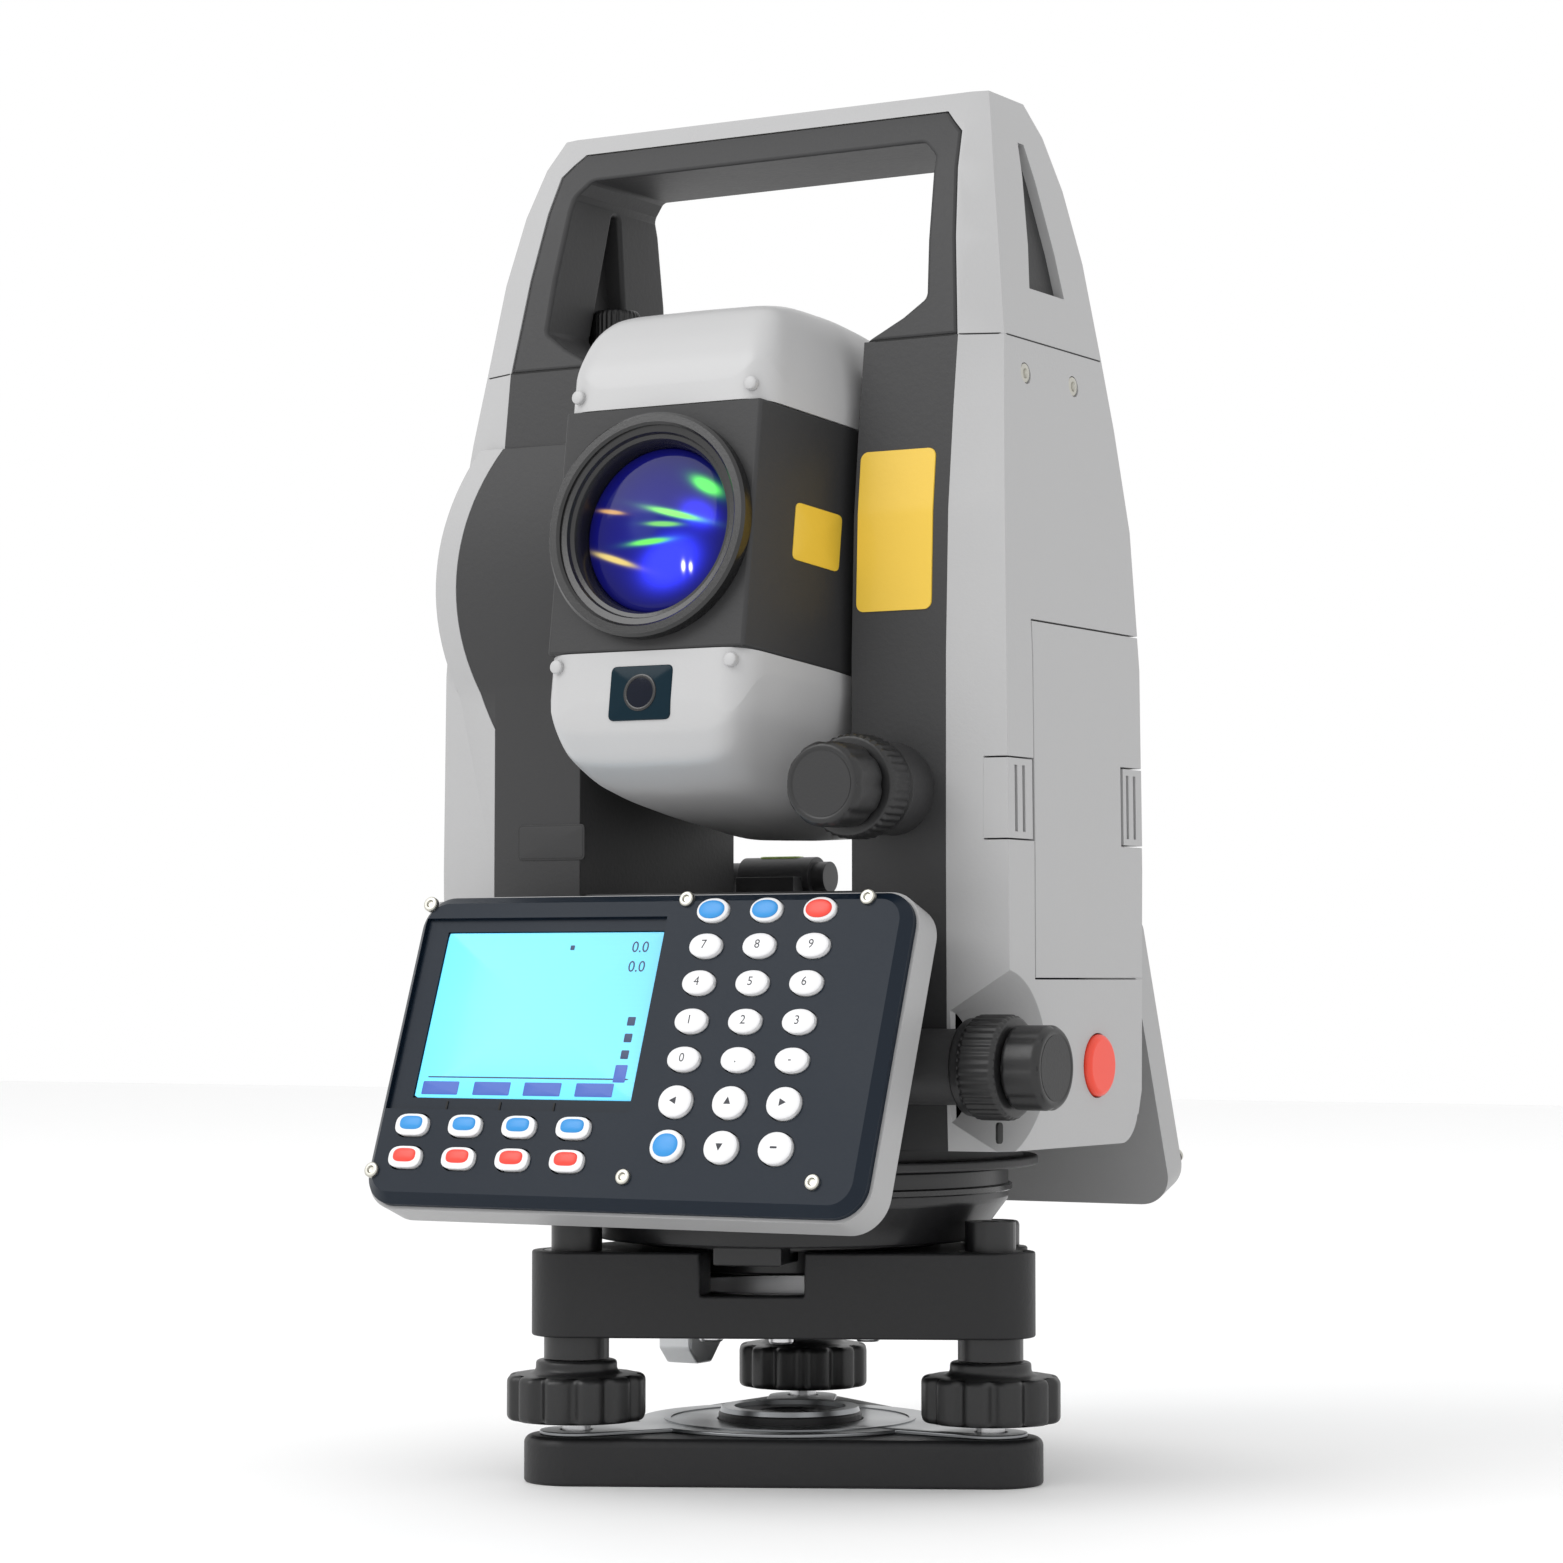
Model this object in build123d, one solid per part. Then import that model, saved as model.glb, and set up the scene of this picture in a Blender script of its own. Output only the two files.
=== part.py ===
from build123d import *
import os
from math import cos, radians, sin, sqrt

# Surveying total station on its tribrach. Millimetres, +Z up. The origin is the centre of the
# tribrach's underside, on the vertical axis. The alidade's front faces -Y, its battery side is +X.

# ---------------------------------------------------------------- driving dimensions
overall_height = 341.0
run_gap = 0.05             # radial clearance of a shaft in its bore
move_gap = 0.3             # clearance between bodies that move past each other
skin = 2.6                 # wall of the moulded covers

# tribrach
screw_circle = 58.6        # radius of the circle that the foot screws stand on
tribrach_turn = -3.2       # direction of the first foot screw, degrees from +X
plate_height = 11.5
plate_corner = 12.8
plate_boss_r = 18.0
plate_boss_height = 3.0
tripod_thread_r = 6.75     # 5/8 inch-11 thread drawn at its tapping-drill radius
spring_plate_r = 38.0
spring_plate_t = 1.0
foot_ball_r = 4.8
foot_neck_r = 3.5
foot_knob_r = 17.2
foot_knob_bottom = 14.8
foot_knob_top = 26.3
foot_knob_flutes = 12
foot_collar_r = 10.0
foot_spindle_r = 4.0
bush_r = 8.0
bush_bottom = 30.0
bush_cap_r = 6.25
bush_cap_top = 63.6
tribrach_bottom = 35.6
tribrach_top = 56.4
tribrach_corner = 11.0
tribrach_floor = 4.0
tribrach_bore_r = 34.0
clamp_ring_height = 6.0
clamp_ring_wall = 3.5
notch_direction = -73.0
notch_width = 25.0
notch_depth = 10.5
level_direction = 56.8
level_place_r = 58.0
level_r = 7.5
level_height = 6.6
lever_place_y = 30.0
lever_axis_z = 44.5
lever_reach = 22.5
lever_width = 18.0
lever_t = 9.8

# instrument base and vertical axis
housing_r = 55.0
housing_lip_r = 48.5
housing_lip_z = 58.0
lug_width = 17.0
lug_height = 5.0
axis_r = 12.0
circle_r = 40.0
circle_t = 2.0
flange_r = 62.5
flange_bottom = 76.4
flange_t = 2.3

# alidade
standard_bottom = 82.0
standard_inner = 39.0      # half the gap between the standards
standard_border = 64.7     # where the dark standard meets its light cover
standard_wall = 4.0
seam_z = 277.5             # joint between the standards and the handle
trunnion_z = 222.0
trunnion_r = 8.0
bearing_r = 14.0
bearing_length = 6.0
vertical_circle_r = 29.5
saddle_r = 84.5            # room for the telescope as it turns over
yoke_top = 144.0
yoke_half_depth = 36.0
tunnel_width = 30.0
tunnel_height = 32.0

swell_half = 36.0          # half height of the left standard's swelling about the trunnion
swell_rise = 10.0          # how far the swelling pushes the dark border outwards
swell_proud = 4.6          # how far it stands in front of the standard
swell_band = 6.3           # light band round it
swell_back = 31.0          # its back, clear of the vertical circle
scoop_r = 13.5             # hollow in the right cover round the horizontal clamp
scoop_mouth_r = 25.0
corner_round = 7.0         # lower rear corner of the covers
cover_screw_y = (-17.0, 9.0)
cover_screw_z = 269.0
cover_screw_x = 74.4
cover_screw_r = 2.6

# rows of the standards' outer form: height, half width, half depth at the corner, half depth in front
body_rows = [
    (82.0, 79.4, 34.8, 36.8),
    (95.0, 81.0, 35.8, 37.4),
    (150.0, 81.0, 36.7, 37.7),
    (200.0, 80.5, 36.6, 37.5),
    (235.0, 79.0, 34.3, 36.2),
    (260.0, 76.8, 30.2, 33.4),
    (seam_z, 75.0, 26.6, 31.0),
]
handle_rows = [
    (seam_z, 75.0, 26.6, 31.0),
    (302.0, 71.6, 23.0, 26.4),
    (320.0, 68.2, 18.8, 21.4),
    (333.0, 65.0, 14.0, 15.6),
    (overall_height, 62.0, 9.3, 10.3),
]
border_top = 58.0          # the border's half width at the top of the handle
liner_top = 336.0
grip_underside = 328.0
grip_half_width = 52.5
leg_half_width = 55.0
leg_foot_z = 287.5
window_base_z = 291.0
window_apex_z = 329.0
window_half_base = 9.5
thumb_screw_r = 6.5
thumb_screw_x = 52.5
thumb_screw_top = 297.0
thumb_pocket_z = 283.7

# control panels, in the panel's own plane
panel_width = 140.0
panel_length = 80.8
panel_corner = 9.0
panel_thickness = 13.0
panel_tilt = 20.4          # lean from the vertical, degrees
panel_centre_y = 75.6
panel_centre_z = 106.45
face_t = 4.0
face_inset = 0.8
face_bevel = 2.4
panel_wall = 2.5
panel_side_wall = 2.0
screen_centre = (-28.5, 8.6)
screen_size = (63.5, 43.0)
recess_size = (70.0, 49.5)
recess_centre = (-31.7, 8.6)
recess_depth = 1.2
key_gap = 0.35
key_travel = 0.8
key_height = 1.6
key_flange = 0.6
pad_columns = [16.0, 30.7, 45.3]
function_row = 34.6
number_rows = [25.5, 16.2, 6.6, -2.9]
arrow_rows = [-13.4, -24.3]
soft_columns = [-57.4, -41.9, -26.4, -10.9]
soft_rows = [-20.4, -28.6]
oval_key = (4.3, 3.0)
round_key = (4.4, 3.9)
soft_key = (9.3, 5.4)
panel_screws = [(-66.3, 37.0), (8.0, 37.6), (57.5, 37.6), (-66.6, -32.0), (5.5, -32.0), (56.5, -32.0)]
panel_screw_r = 1.9

# drives
clamp_r = 12.5
knob_r = 10.2
sleeve_r = 9.0
drive_shaft_r = 3.0
clamp_sleeve_r = 5.0
vertical_drive = (50.5, 168.0)      # x, z of the vertical drive's axis
vertical_boss_r = 11.0
vertical_boss_end = 48.0
vertical_clamp_end = 60.0
vertical_knob_end = 72.5
horizontal_drive = (-40.0, 102.0)   # y, z of the horizontal drive's axis
horizontal_sleeve_end = 71.7
horizontal_clamp_end = 84.7
horizontal_knob_end = 95.0
trigger_place = (10.8, 101.6)       # y, z of the trigger on the +X face
trigger_r = 7.6
trigger_proud = 1.6
trigger_travel = 1.5

# battery
battery_front = -22.7
battery_bottom = 122.6
battery_top = 208.8
battery_inner_x = 66.5
battery_gap = 0.4
latch_bottom = 156.0
latch_top = 175.0
latch_inner_x = 74.5
latch_gap = 1.3
latch_pin_r = 1.5
latch_grooves = (-32.5, -28.5)

# telescope, in its own level frame with the trunnion at its origin
rest_tilt = 8.0            # the objective end rests this many degrees above level
tube_front = 66.0
tube_back = 62.0
tube_front_half = 27.6
tube_half = 36.3
tube_back_half = 26.0
tube_shoulder = 32.0
tube_half_height = 30.3
optic_bore_r = 21.0
objective_r = 27.75
objective_proud = 4.2
lens_r = 20.5
lens_t = 5.0
eyepiece_r = 12.0
focus_r = 19.0
crest = 63.0
window_w = -40.6
window_size = (17.7, 13.6)
sight_r = 3.25

foot_directions = [tribrach_turn, tribrach_turn + 120.0, tribrach_turn + 240.0]
foot_names = ["right", "rear", "left"]
parts = {}


# ---------------------------------------------------------------- helpers
def polar(radius, degrees):
    """Point on a circle about the vertical axis."""
    return radius * cos(radians(degrees)), radius * sin(radians(degrees))


def disc(radius, low, high, x=0.0, y=0.0):
    """Upright cylinder between two heights."""
    return Pos(x, y, (low + high) / 2) * Cylinder(radius, high - low)


def rod_x(radius, low, high, y, z):
    """Cylinder along X between two places."""
    return Pos((low + high) / 2, y, z) * Rot(0, 90, 0) * Cylinder(radius, high - low)


def rod_y(radius, low, high, x, z):
    """Cylinder along Y between two places."""
    return Pos(x, (low + high) / 2, z) * Rot(90, 0, 0) * Cylinder(radius, high - low)


def block(x, y, z):
    """Box between pairs of limits."""
    size = [pair[1] - pair[0] for pair in (x, y, z)]
    middle = [(pair[1] + pair[0]) / 2 for pair in (x, y, z)]
    return Pos(*middle) * Box(*size)


def turned(profile):
    """Solid of revolution about Z of a closed (radius, height) outline."""
    return revolve(Plane.XZ * make_face(Polyline(*profile, close=True)), Axis.Z)


def prism_yz(points, low, high):
    """Outline in the YZ plane carried along X."""
    face = Plane.YZ * make_face(Polyline(*points, close=True))
    return Pos(low, 0, 0) * extrude(face, high - low)


def prism_xz(points, half_depth):
    """Outline in the XZ plane carried both ways along Y."""
    return extrude(Plane.XZ * make_face(Polyline(*points, close=True)), half_depth, both=True)


def rounded_triangle(corner, low, high):
    """Prism round the three foot screws with rounded corners."""
    corners = [polar(screw_circle, d) for d in foot_directions]
    outline = offset(make_face(Polyline(*corners, close=True)), amount=corner)
    return Pos(0, 0, low) * extrude(outline, high - low)


def mirrored(solid):
    """The same piece on the other side of the YZ plane."""
    return mirror(solid, about=Plane.YZ)


def save(name, shape):
    """Keep a piece under its node name."""
    parts[name] = shape


# ---------------------------------------------------------------- tribrach
def base_plate():
    """Rounded triangular foot with the tripod thread and three ball sockets."""
    plate = rounded_triangle(plate_corner, 0, plate_height)
    plate = chamfer(plate.edges().group_by(Axis.Z)[-1], 1.2)
    plate = plate + disc(plate_boss_r, 0, plate_height + plate_boss_height)
    plate = plate - disc(tripod_thread_r, -1, overall_height)
    for direction in foot_directions:
        plate = plate - disc(foot_ball_r + move_gap, plate_height / 2, overall_height, *polar(screw_circle, direction))
    save("base_plate", plate)


def spring_plate():
    """Thin steel plate over the ball feet."""
    low = plate_height
    sheet = disc(spring_plate_r, low, low + spring_plate_t)
    for direction in foot_directions:
        arm = Rot(0, 0, direction) * block((0, screw_circle), (-9, 9), (low, low + spring_plate_t))
        place = polar(screw_circle, direction)
        sheet = sheet + arm + disc(9, low, low + spring_plate_t, *place)
        sheet = sheet - disc(foot_neck_r + 2 * move_gap, 0, 30, *place)
    save("spring_plate", sheet - disc(plate_boss_r + move_gap, 0, 30))


def foot_screw(name, direction):
    """Ball foot, neck, fluted knob, collar and threaded spindle in one piece."""
    place = polar(screw_circle, direction)
    ball_z = plate_height / 2 + move_gap + foot_ball_r * 0.8
    flutes = [Pos(*polar(foot_knob_r + 1.2, i * 360 / foot_knob_flutes), 0) * Circle(2.3) for i in range(foot_knob_flutes)]
    outline = Circle(foot_knob_r)
    for flute in flutes:
        outline = outline - flute
    knob = Pos(0, 0, foot_knob_bottom) * extrude(outline, foot_knob_top - foot_knob_bottom)
    ball = Pos(0, 0, ball_z) * Sphere(foot_ball_r)
    ball = ball & disc(foot_ball_r, plate_height / 2 + move_gap, plate_height - move_gap)
    screw = knob + ball + disc(foot_neck_r, ball_z, foot_knob_bottom + 1)
    screw = screw + disc(foot_collar_r, foot_knob_top, bush_bottom - move_gap)
    screw = screw + disc(foot_spindle_r, bush_bottom - 1, bush_cap_top - 3)
    save("foot_screw_" + name, Pos(*place, 0) * Rot(0, 0, direction) * screw)


def foot_screw_bushes():
    """Three capped bushes that the foot screws turn in."""
    bushes = []
    for direction in foot_directions:
        bush = disc(bush_r, bush_bottom, tribrach_top) + disc(bush_cap_r, tribrach_top, bush_cap_top)
        bush = bush - disc(foot_spindle_r + run_gap, 0, bush_cap_top - 2)
        bushes.append(Pos(*polar(screw_circle, direction), 0) * bush)
    save("foot_screw_bushes", Compound(children=bushes))


def tribrach_body():
    """Cast body with the centring bore, the notch for the lug and an ear for the level."""
    body = rounded_triangle(tribrach_corner, tribrach_bottom, tribrach_top)
    ear_low = tribrach_top - 12
    ear = Rot(0, 0, level_direction) * block((30, level_place_r), (-9.5, 9.5), (ear_low, tribrach_top - 2.4))
    place = polar(level_place_r, level_direction)
    body = body + ear + disc(9.5, ear_low, tribrach_top - 2.4, *place)
    body = body - disc(tribrach_bore_r, tribrach_bottom + tribrach_floor, 100)
    body = body - disc(18, 0, 100)
    for direction in foot_directions:
        body = body - disc(bush_r, 0, 100, *polar(screw_circle, direction))
    half = notch_width / 2
    notch = block((20, 70), (-half, half), (tribrach_top - notch_depth, 100))
    body = body - Rot(0, 0, notch_direction) * notch
    pivot = rod_x(3 + run_gap, -60, -30, lever_place_y, lever_axis_z)
    save("tribrach_body", body - pivot)


def clamp_ring():
    """Ring in the tribrach that grips the instrument's plug."""
    low = tribrach_bottom + tribrach_floor + move_gap
    outer = tribrach_bore_r - move_gap
    ring = disc(outer, low, low + clamp_ring_height) - disc(outer - clamp_ring_wall, 0, 100)
    save("clamp_ring", ring)


def lock_lever():
    """Metal lever on the tribrach's left wall that turns the clamp ring."""
    wall_x = -(screw_circle / 2 + tribrach_corner) / cos(radians(tribrach_turn)) - 2.0
    half = lever_width / 2
    low = lever_axis_z - lever_reach
    outline = [
        (lever_place_y - half, lever_axis_z),
        (lever_place_y - half, low + 4),
        (lever_place_y - half + 4, low),
        (lever_place_y + half - 7, low),
        (lever_place_y + half, low + 7),
        (lever_place_y + half, lever_axis_z),
    ]
    lever = prism_yz(outline, wall_x - lever_t, wall_x)
    lever = lever + rod_x(half, wall_x - lever_t, wall_x, lever_place_y, lever_axis_z)
    save("lock_lever", lever + rod_x(3, wall_x - 1, -32.5, lever_place_y, lever_axis_z))


def circular_level():
    """Round bubble housing on the tribrach's ear."""
    low = tribrach_top - 2.4
    level = disc(level_r, low, low + level_height) - disc(level_r - 1.6, low + level_height - 1.2, 100)
    save("circular_level", Pos(*polar(level_place_r, level_direction), 0) * level)


# ---------------------------------------------------------------- instrument base
def base_housing():
    """Fixed lower part: plug, lip, cone, circle pocket and the orientation lug."""
    top = flange_bottom - move_gap
    bore = axis_r + run_gap
    outline = [
        (bore, 50), (26, 50), (26, tribrach_top), (38, tribrach_top), (38, housing_lip_z),
        (housing_lip_r, housing_lip_z), (housing_lip_r + 2, housing_lip_z + 4), (housing_r, 68), (housing_r, top),
        (circle_r + 4, top), (circle_r + 4, 69.5), (bore, 69.5),
    ]
    housing = turned(outline)
    half = lug_width / 2
    lug = block((27, 46), (-half, half), (housing_lip_z + 0.5 - lug_height, housing_lip_z + 1))
    save("base_housing", housing + Rot(0, 0, notch_direction) * lug)


def vertical_axis():
    """Hollow shaft that carries the alidade, with a shoulder for the horizontal circle."""
    axis = disc(axis_r, 51, 73) + disc(axis_r + 6, 73, flange_bottom)
    save("vertical_axis", axis - disc(4, 0, 100))


def horizontal_circle():
    """Glass encoder disc below the axis shoulder."""
    save("horizontal_circle", disc(circle_r, 73 - circle_t, 73) - disc(axis_r, 0, 100))


# ---------------------------------------------------------------- alidade castings
def section(row, inset, border):
    """Eight-sided outline of the standards at one height, drawn in by an inset."""
    height, half_width, corner, front = row
    a, c, f = half_width - inset, corner - inset, front - inset
    points = [(-border, -f), (border, -f), (a, -c), (a, c), (border, f), (-border, f), (-a, c), (-a, -c)]
    return Pos(0, 0, height) * make_face(Polyline(*points, close=True))


def lofted(rows, inset=0.0, borders=None):
    """Ruled solid through the outlines of a list of rows."""
    borders = borders or [standard_border] * len(rows)
    return loft([section(row, inset, border) for row, border in zip(rows, borders)], ruled=True)


def body_form(inset=0.0):
    """Outer form of both standards and everything between them."""
    rows = list(body_rows)
    if inset:
        rows[0] = (rows[0][0] + inset,) + rows[0][1:]
        rows[-1] = (rows[-1][0] - inset,) + rows[-1][1:]
    return lofted(rows, inset)


def alidade_base():
    """Turning flange and yoke block with brackets for both panels and the telescope's saddle."""
    flange = disc(flange_r, flange_bottom, flange_bottom + flange_t)
    base = flange + disc(flange_r - 4, flange_bottom + flange_t, standard_bottom)
    half = standard_inner - move_gap
    depth = yoke_half_depth
    base = base + block((-half, half), (-depth, depth), (standard_bottom, yoke_top))
    back = panel_thickness / cos(radians(panel_tilt))
    lean = sin(radians(panel_tilt)) / cos(radians(panel_tilt))
    for side in (-1, 1):
        low, high = 86.0, 138.0
        near = [side * (panel_centre_y + (panel_centre_z - z) * lean - back) for z in (low, high)]
        outline = [(side * depth, low), (near[0], low), (near[1], high), (side * depth, high)]
        base = base + prism_yz(outline, -half, half)
    base = base - rod_x(saddle_r, -half - 1, half + 1, 0, trunnion_z)
    tunnel = block((-half - 1, half + 1), (-tunnel_width / 2, tunnel_width / 2), (94, 94 + tunnel_height))
    save("alidade_base", base - tunnel - disc(4, 0, 90))


def main_board():
    """Circuit board standing in the yoke's tunnel."""
    save("main_board", block((-36, 36), (-1, 1), (94, 94 + tunnel_height)))


def swell_radius():
    """Radius of the arc that bounds the swelling in front view, and its centre's x on the left side."""
    radius = (swell_half**2 + swell_rise**2) / (2 * swell_rise)
    return radius, radius - standard_border - swell_rise


def swelling():
    """Barrel-shaped rise on the front of the left standard, about the trunnion."""
    radius, centre = swell_radius()
    front = body_rows[4][3] + swell_proud
    rim = front - swell_proud - 2.0
    barrel_r = (swell_half**2 + (front - rim) ** 2) / (2 * (front - rim))
    barrel = rod_x(barrel_r, -90, -standard_inner, barrel_r - front, trunnion_z)
    bound = rod_y(radius + swell_band, -60, -swell_back, centre, trunnion_z)
    height = (trunnion_z - swell_half, trunnion_z + swell_half)
    return barrel & bound & block((-90, -standard_inner), (-60, -swell_back), height)


def lower_corner():
    """What the rounded lower rear corner takes off both standards and covers."""
    y, z = body_rows[0][2] - corner_round, standard_bottom + corner_round
    waste = block((standard_inner - 1, 100), (y, 60), (standard_bottom - 1, z))
    return waste - rod_x(corner_round, standard_inner - 2, 101, y, z)


def right_drives():
    """Space that the two drives take out of the right standard and its cover."""
    y, z = horizontal_drive
    sleeve = rod_x(sleeve_r, standard_inner - 1, horizontal_sleeve_end, y, z)
    scoop = rod_x(clamp_r + move_gap, horizontal_sleeve_end, 100, y, z)
    boss = rod_y(vertical_boss_r, -vertical_boss_end, -standard_border / 2, *vertical_drive)
    return sleeve + scoop + boss


def standard(side):
    """Dark cast standard, open towards its cover, with a bearing boss."""
    inner, border = standard_inner, standard_border
    frame = body_form() & block((inner, border), (-60, 60), (0, seam_z))
    wall = standard_wall
    row = body_rows[0]
    hollow = lofted([(r[0], r[1], r[3] - wall, r[3] - wall) for r in body_rows])
    pocket = hollow & block((inner + wall, border + 1), (-60, 60), (row[0] + wall, seam_z - wall))
    boss_end = inner + bearing_length + 1
    boss = rod_x(bearing_r + wall, inner + wall, boss_end, 0, trunnion_z)
    frame = frame - pocket + boss - rod_x(bearing_r, 0, boss_end + 1, 0, trunnion_z) - lower_corner()
    if side > 0:
        return frame - right_drives()
    radius, centre = swell_radius()
    dark = rod_y(radius, -60, -standard_wall, centre, trunnion_z)
    wall = (body_form() - body_form(skin)) + swelling()
    return mirrored(frame) + (wall & dark & block((-90, -standard_inner), (-60, -20), (0, seam_z)))


def cover_shell():
    """Light moulded cover outside one standard, open towards it, with two screw seats."""
    outside = body_form() & block((standard_border, 100), (-60, 60), (0, seam_z))
    for y in cover_screw_y:
        outside = outside - rod_x(cover_screw_r, cover_screw_x, 100, y, cover_screw_z)
    return outside - body_form(skin) - lower_corner()


def left_cover():
    """The left cover, cut away round the swelling and carrying its light band."""
    radius, centre = swell_radius()
    band = swelling() & block((-90, -standard_border), (-60, -20), (0, seam_z))
    cover = mirrored(cover_shell()) + (band - body_form(skin))
    return cover - rod_y(radius, -60, -20, centre, trunnion_z)


def scoop(grow):
    """Cone about the horizontal drive, as wide as the hollow in the right cover plus a wall."""
    y, z = horizontal_drive
    low, high = horizontal_sleeve_end - 6, body_rows[1][1] + 3
    cone = Cone(scoop_r + grow, scoop_mouth_r + grow, high - low)
    return Pos((low + high) / 2, y, z) * Rot(0, 90, 0) * cone


def standards():
    """Both standards and both covers."""
    save("right_standard", standard(1))
    save("left_standard", standard(-1))
    save("left_cover", left_cover())
    outside = body_form() & block((standard_border, 100), (-60, 60), (0, seam_z))
    cover = cover_shell() + ((scoop(skin) - rod_x(scoop_r, 0, 100, *horizontal_drive)) & outside)
    cover = cover - scoop(0) - right_drives() - lower_corner()
    cover = cover - block((latch_inner_x, 100), (-60, 60), (latch_bottom - battery_gap, latch_top + battery_gap))
    cover = cover - block((50, 100), (battery_front - battery_gap, 60), (battery_bottom, battery_top))
    save("right_cover", cover - rod_x(trigger_r + move_gap, 70, 100, *trigger_place))


def bearings():
    """Bearing rings pressed into both standards."""
    ring = rod_x(bearing_r, standard_inner + 0.5, standard_inner + bearing_length, 0, trunnion_z)
    ring = ring - rod_x(trunnion_r + run_gap, 0, 100, 0, trunnion_z)
    save("trunnion_bearings", Compound(children=[ring, mirrored(ring)]))


def plate_level():
    """Tubular plate level on the rear bracket, behind the telescope's swing."""
    y, z = 56.0, 150.0
    tube = rod_x(5.5, -46, -24, y, z)
    ends = rod_x(4.2, -50, -20, y, z)
    post = block((-44, -26), (46.5, 49.0), (138.0, z)) + block((-44, -26), (46.5, 51.5), (142.0, z))
    save("plate_level", tube + ends + post)


# ---------------------------------------------------------------- handle
def border_outline(low):
    """Half outline of the dark liner, from a height up to its rounded top."""
    return [(standard_border, low), (border_top + 0.6, liner_top - 6), (border_top - 5, liner_top)]


def handle():
    """Light shell over a dark liner, with the grip's opening and a window in each leg."""
    rise = overall_height - seam_z
    borders = [standard_border + (border_top - standard_border) * (r[0] - seam_z) / rise for r in handle_rows]
    form = lofted(handle_rows, 0.0, borders)
    right = border_outline(seam_z - 1)
    liner_prism = prism_xz(right + [(-x, z) for x, z in reversed(right)], 60)
    edge = [
        (standard_inner, seam_z - 2), (standard_inner, seam_z), (49.0, 283.0), (leg_half_width, leg_foot_z),
        (grip_half_width, grip_underside - 4), (grip_half_width - 4, grip_underside),
    ]
    opening = prism_xz(edge + [(-x, z) for x, z in reversed(edge)], 60)
    half = window_half_base
    triangle = [(-half, window_base_z), (half, window_base_z), (1.6, window_apex_z), (-1.6, window_apex_z)]
    window = prism_yz(triangle, border_top - 2, 90)
    shell = form - liner_prism - window - mirrored(window)
    save("handle_shell", shell)
    inside = [(-9.6, thumb_pocket_z), (9.6, thumb_pocket_z), (1.6, 322), (-1.6, 322)]
    pocket = prism_yz(inside, 30, thumb_screw_x + thumb_screw_r + 1.0)
    save("handle_liner", (form & liner_prism) - opening - pocket - mirrored(pocket))


def thumb_screw():
    """Knurled thumb screw that holds the handle down."""
    head = disc(thumb_screw_r, thumb_pocket_z + move_gap, thumb_screw_top, thumb_screw_x)
    save("handle_screw_right", head)
    save("handle_screw_left", mirrored(head))


# ---------------------------------------------------------------- panels
def panel_place(side):
    """Location of a panel's plane: its own X runs to the reader's right, its own Z outwards."""
    front = Pos(0, -panel_centre_y, panel_centre_z) * Rot(90 - panel_tilt, 0, 0)
    return front if side < 0 else Rot(0, 0, 180) * front


def slab(width, length, corner, low, high):
    """Rounded rectangular plate in a panel's own frame."""
    return Pos(0, 0, low) * extrude(RectangleRounded(width, length, corner), high - low)


def oval(grow):
    """Outline of a number key, grown all round."""
    return Ellipse(oval_key[0] + grow, oval_key[1] + grow)


def rounded(grow):
    """Outline of an arrow key, grown all round."""
    return Ellipse(round_key[0] + grow, round_key[1] + grow)


def softened(grow):
    """Outline of a soft key, grown all round."""
    return RectangleRounded(soft_key[0] + 2 * grow, soft_key[1] + 2 * grow, 2.6 + grow)


def key_solids(outline, places):
    """Keys with a flange below the face, one for each place."""
    cap = extrude(outline(0), key_height + face_t + 0.4)
    flange = extrude(outline(key_flange), 1.0)
    key = Pos(0, 0, -face_t - 0.4) * cap + Pos(0, 0, -face_t - 1.4) * flange
    return [Pos(x, y, 0) * key for x, y in places]


def key_groups():
    """Outline and places of each group of keys."""
    upper = [(x, function_row) for x in pad_columns]
    numbers = [(x, y) for y in number_rows for x in pad_columns]
    arrows = [(x, y) for y in arrow_rows for x in pad_columns]
    softs = [(x, y) for y in soft_rows for x in soft_columns]
    return {"function": (oval, upper), "number": (oval, numbers), "arrow": (rounded, arrows), "soft": (softened, softs)}


def screw_solids():
    """Screws of one panel: a round head on the face and a shank into the shell."""
    screw = disc(panel_screw_r, 0, 0.9) + disc(1.1, -face_t - 3, 0.5)
    return [Pos(x, y, 0) * screw for x, y in panel_screws]


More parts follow.
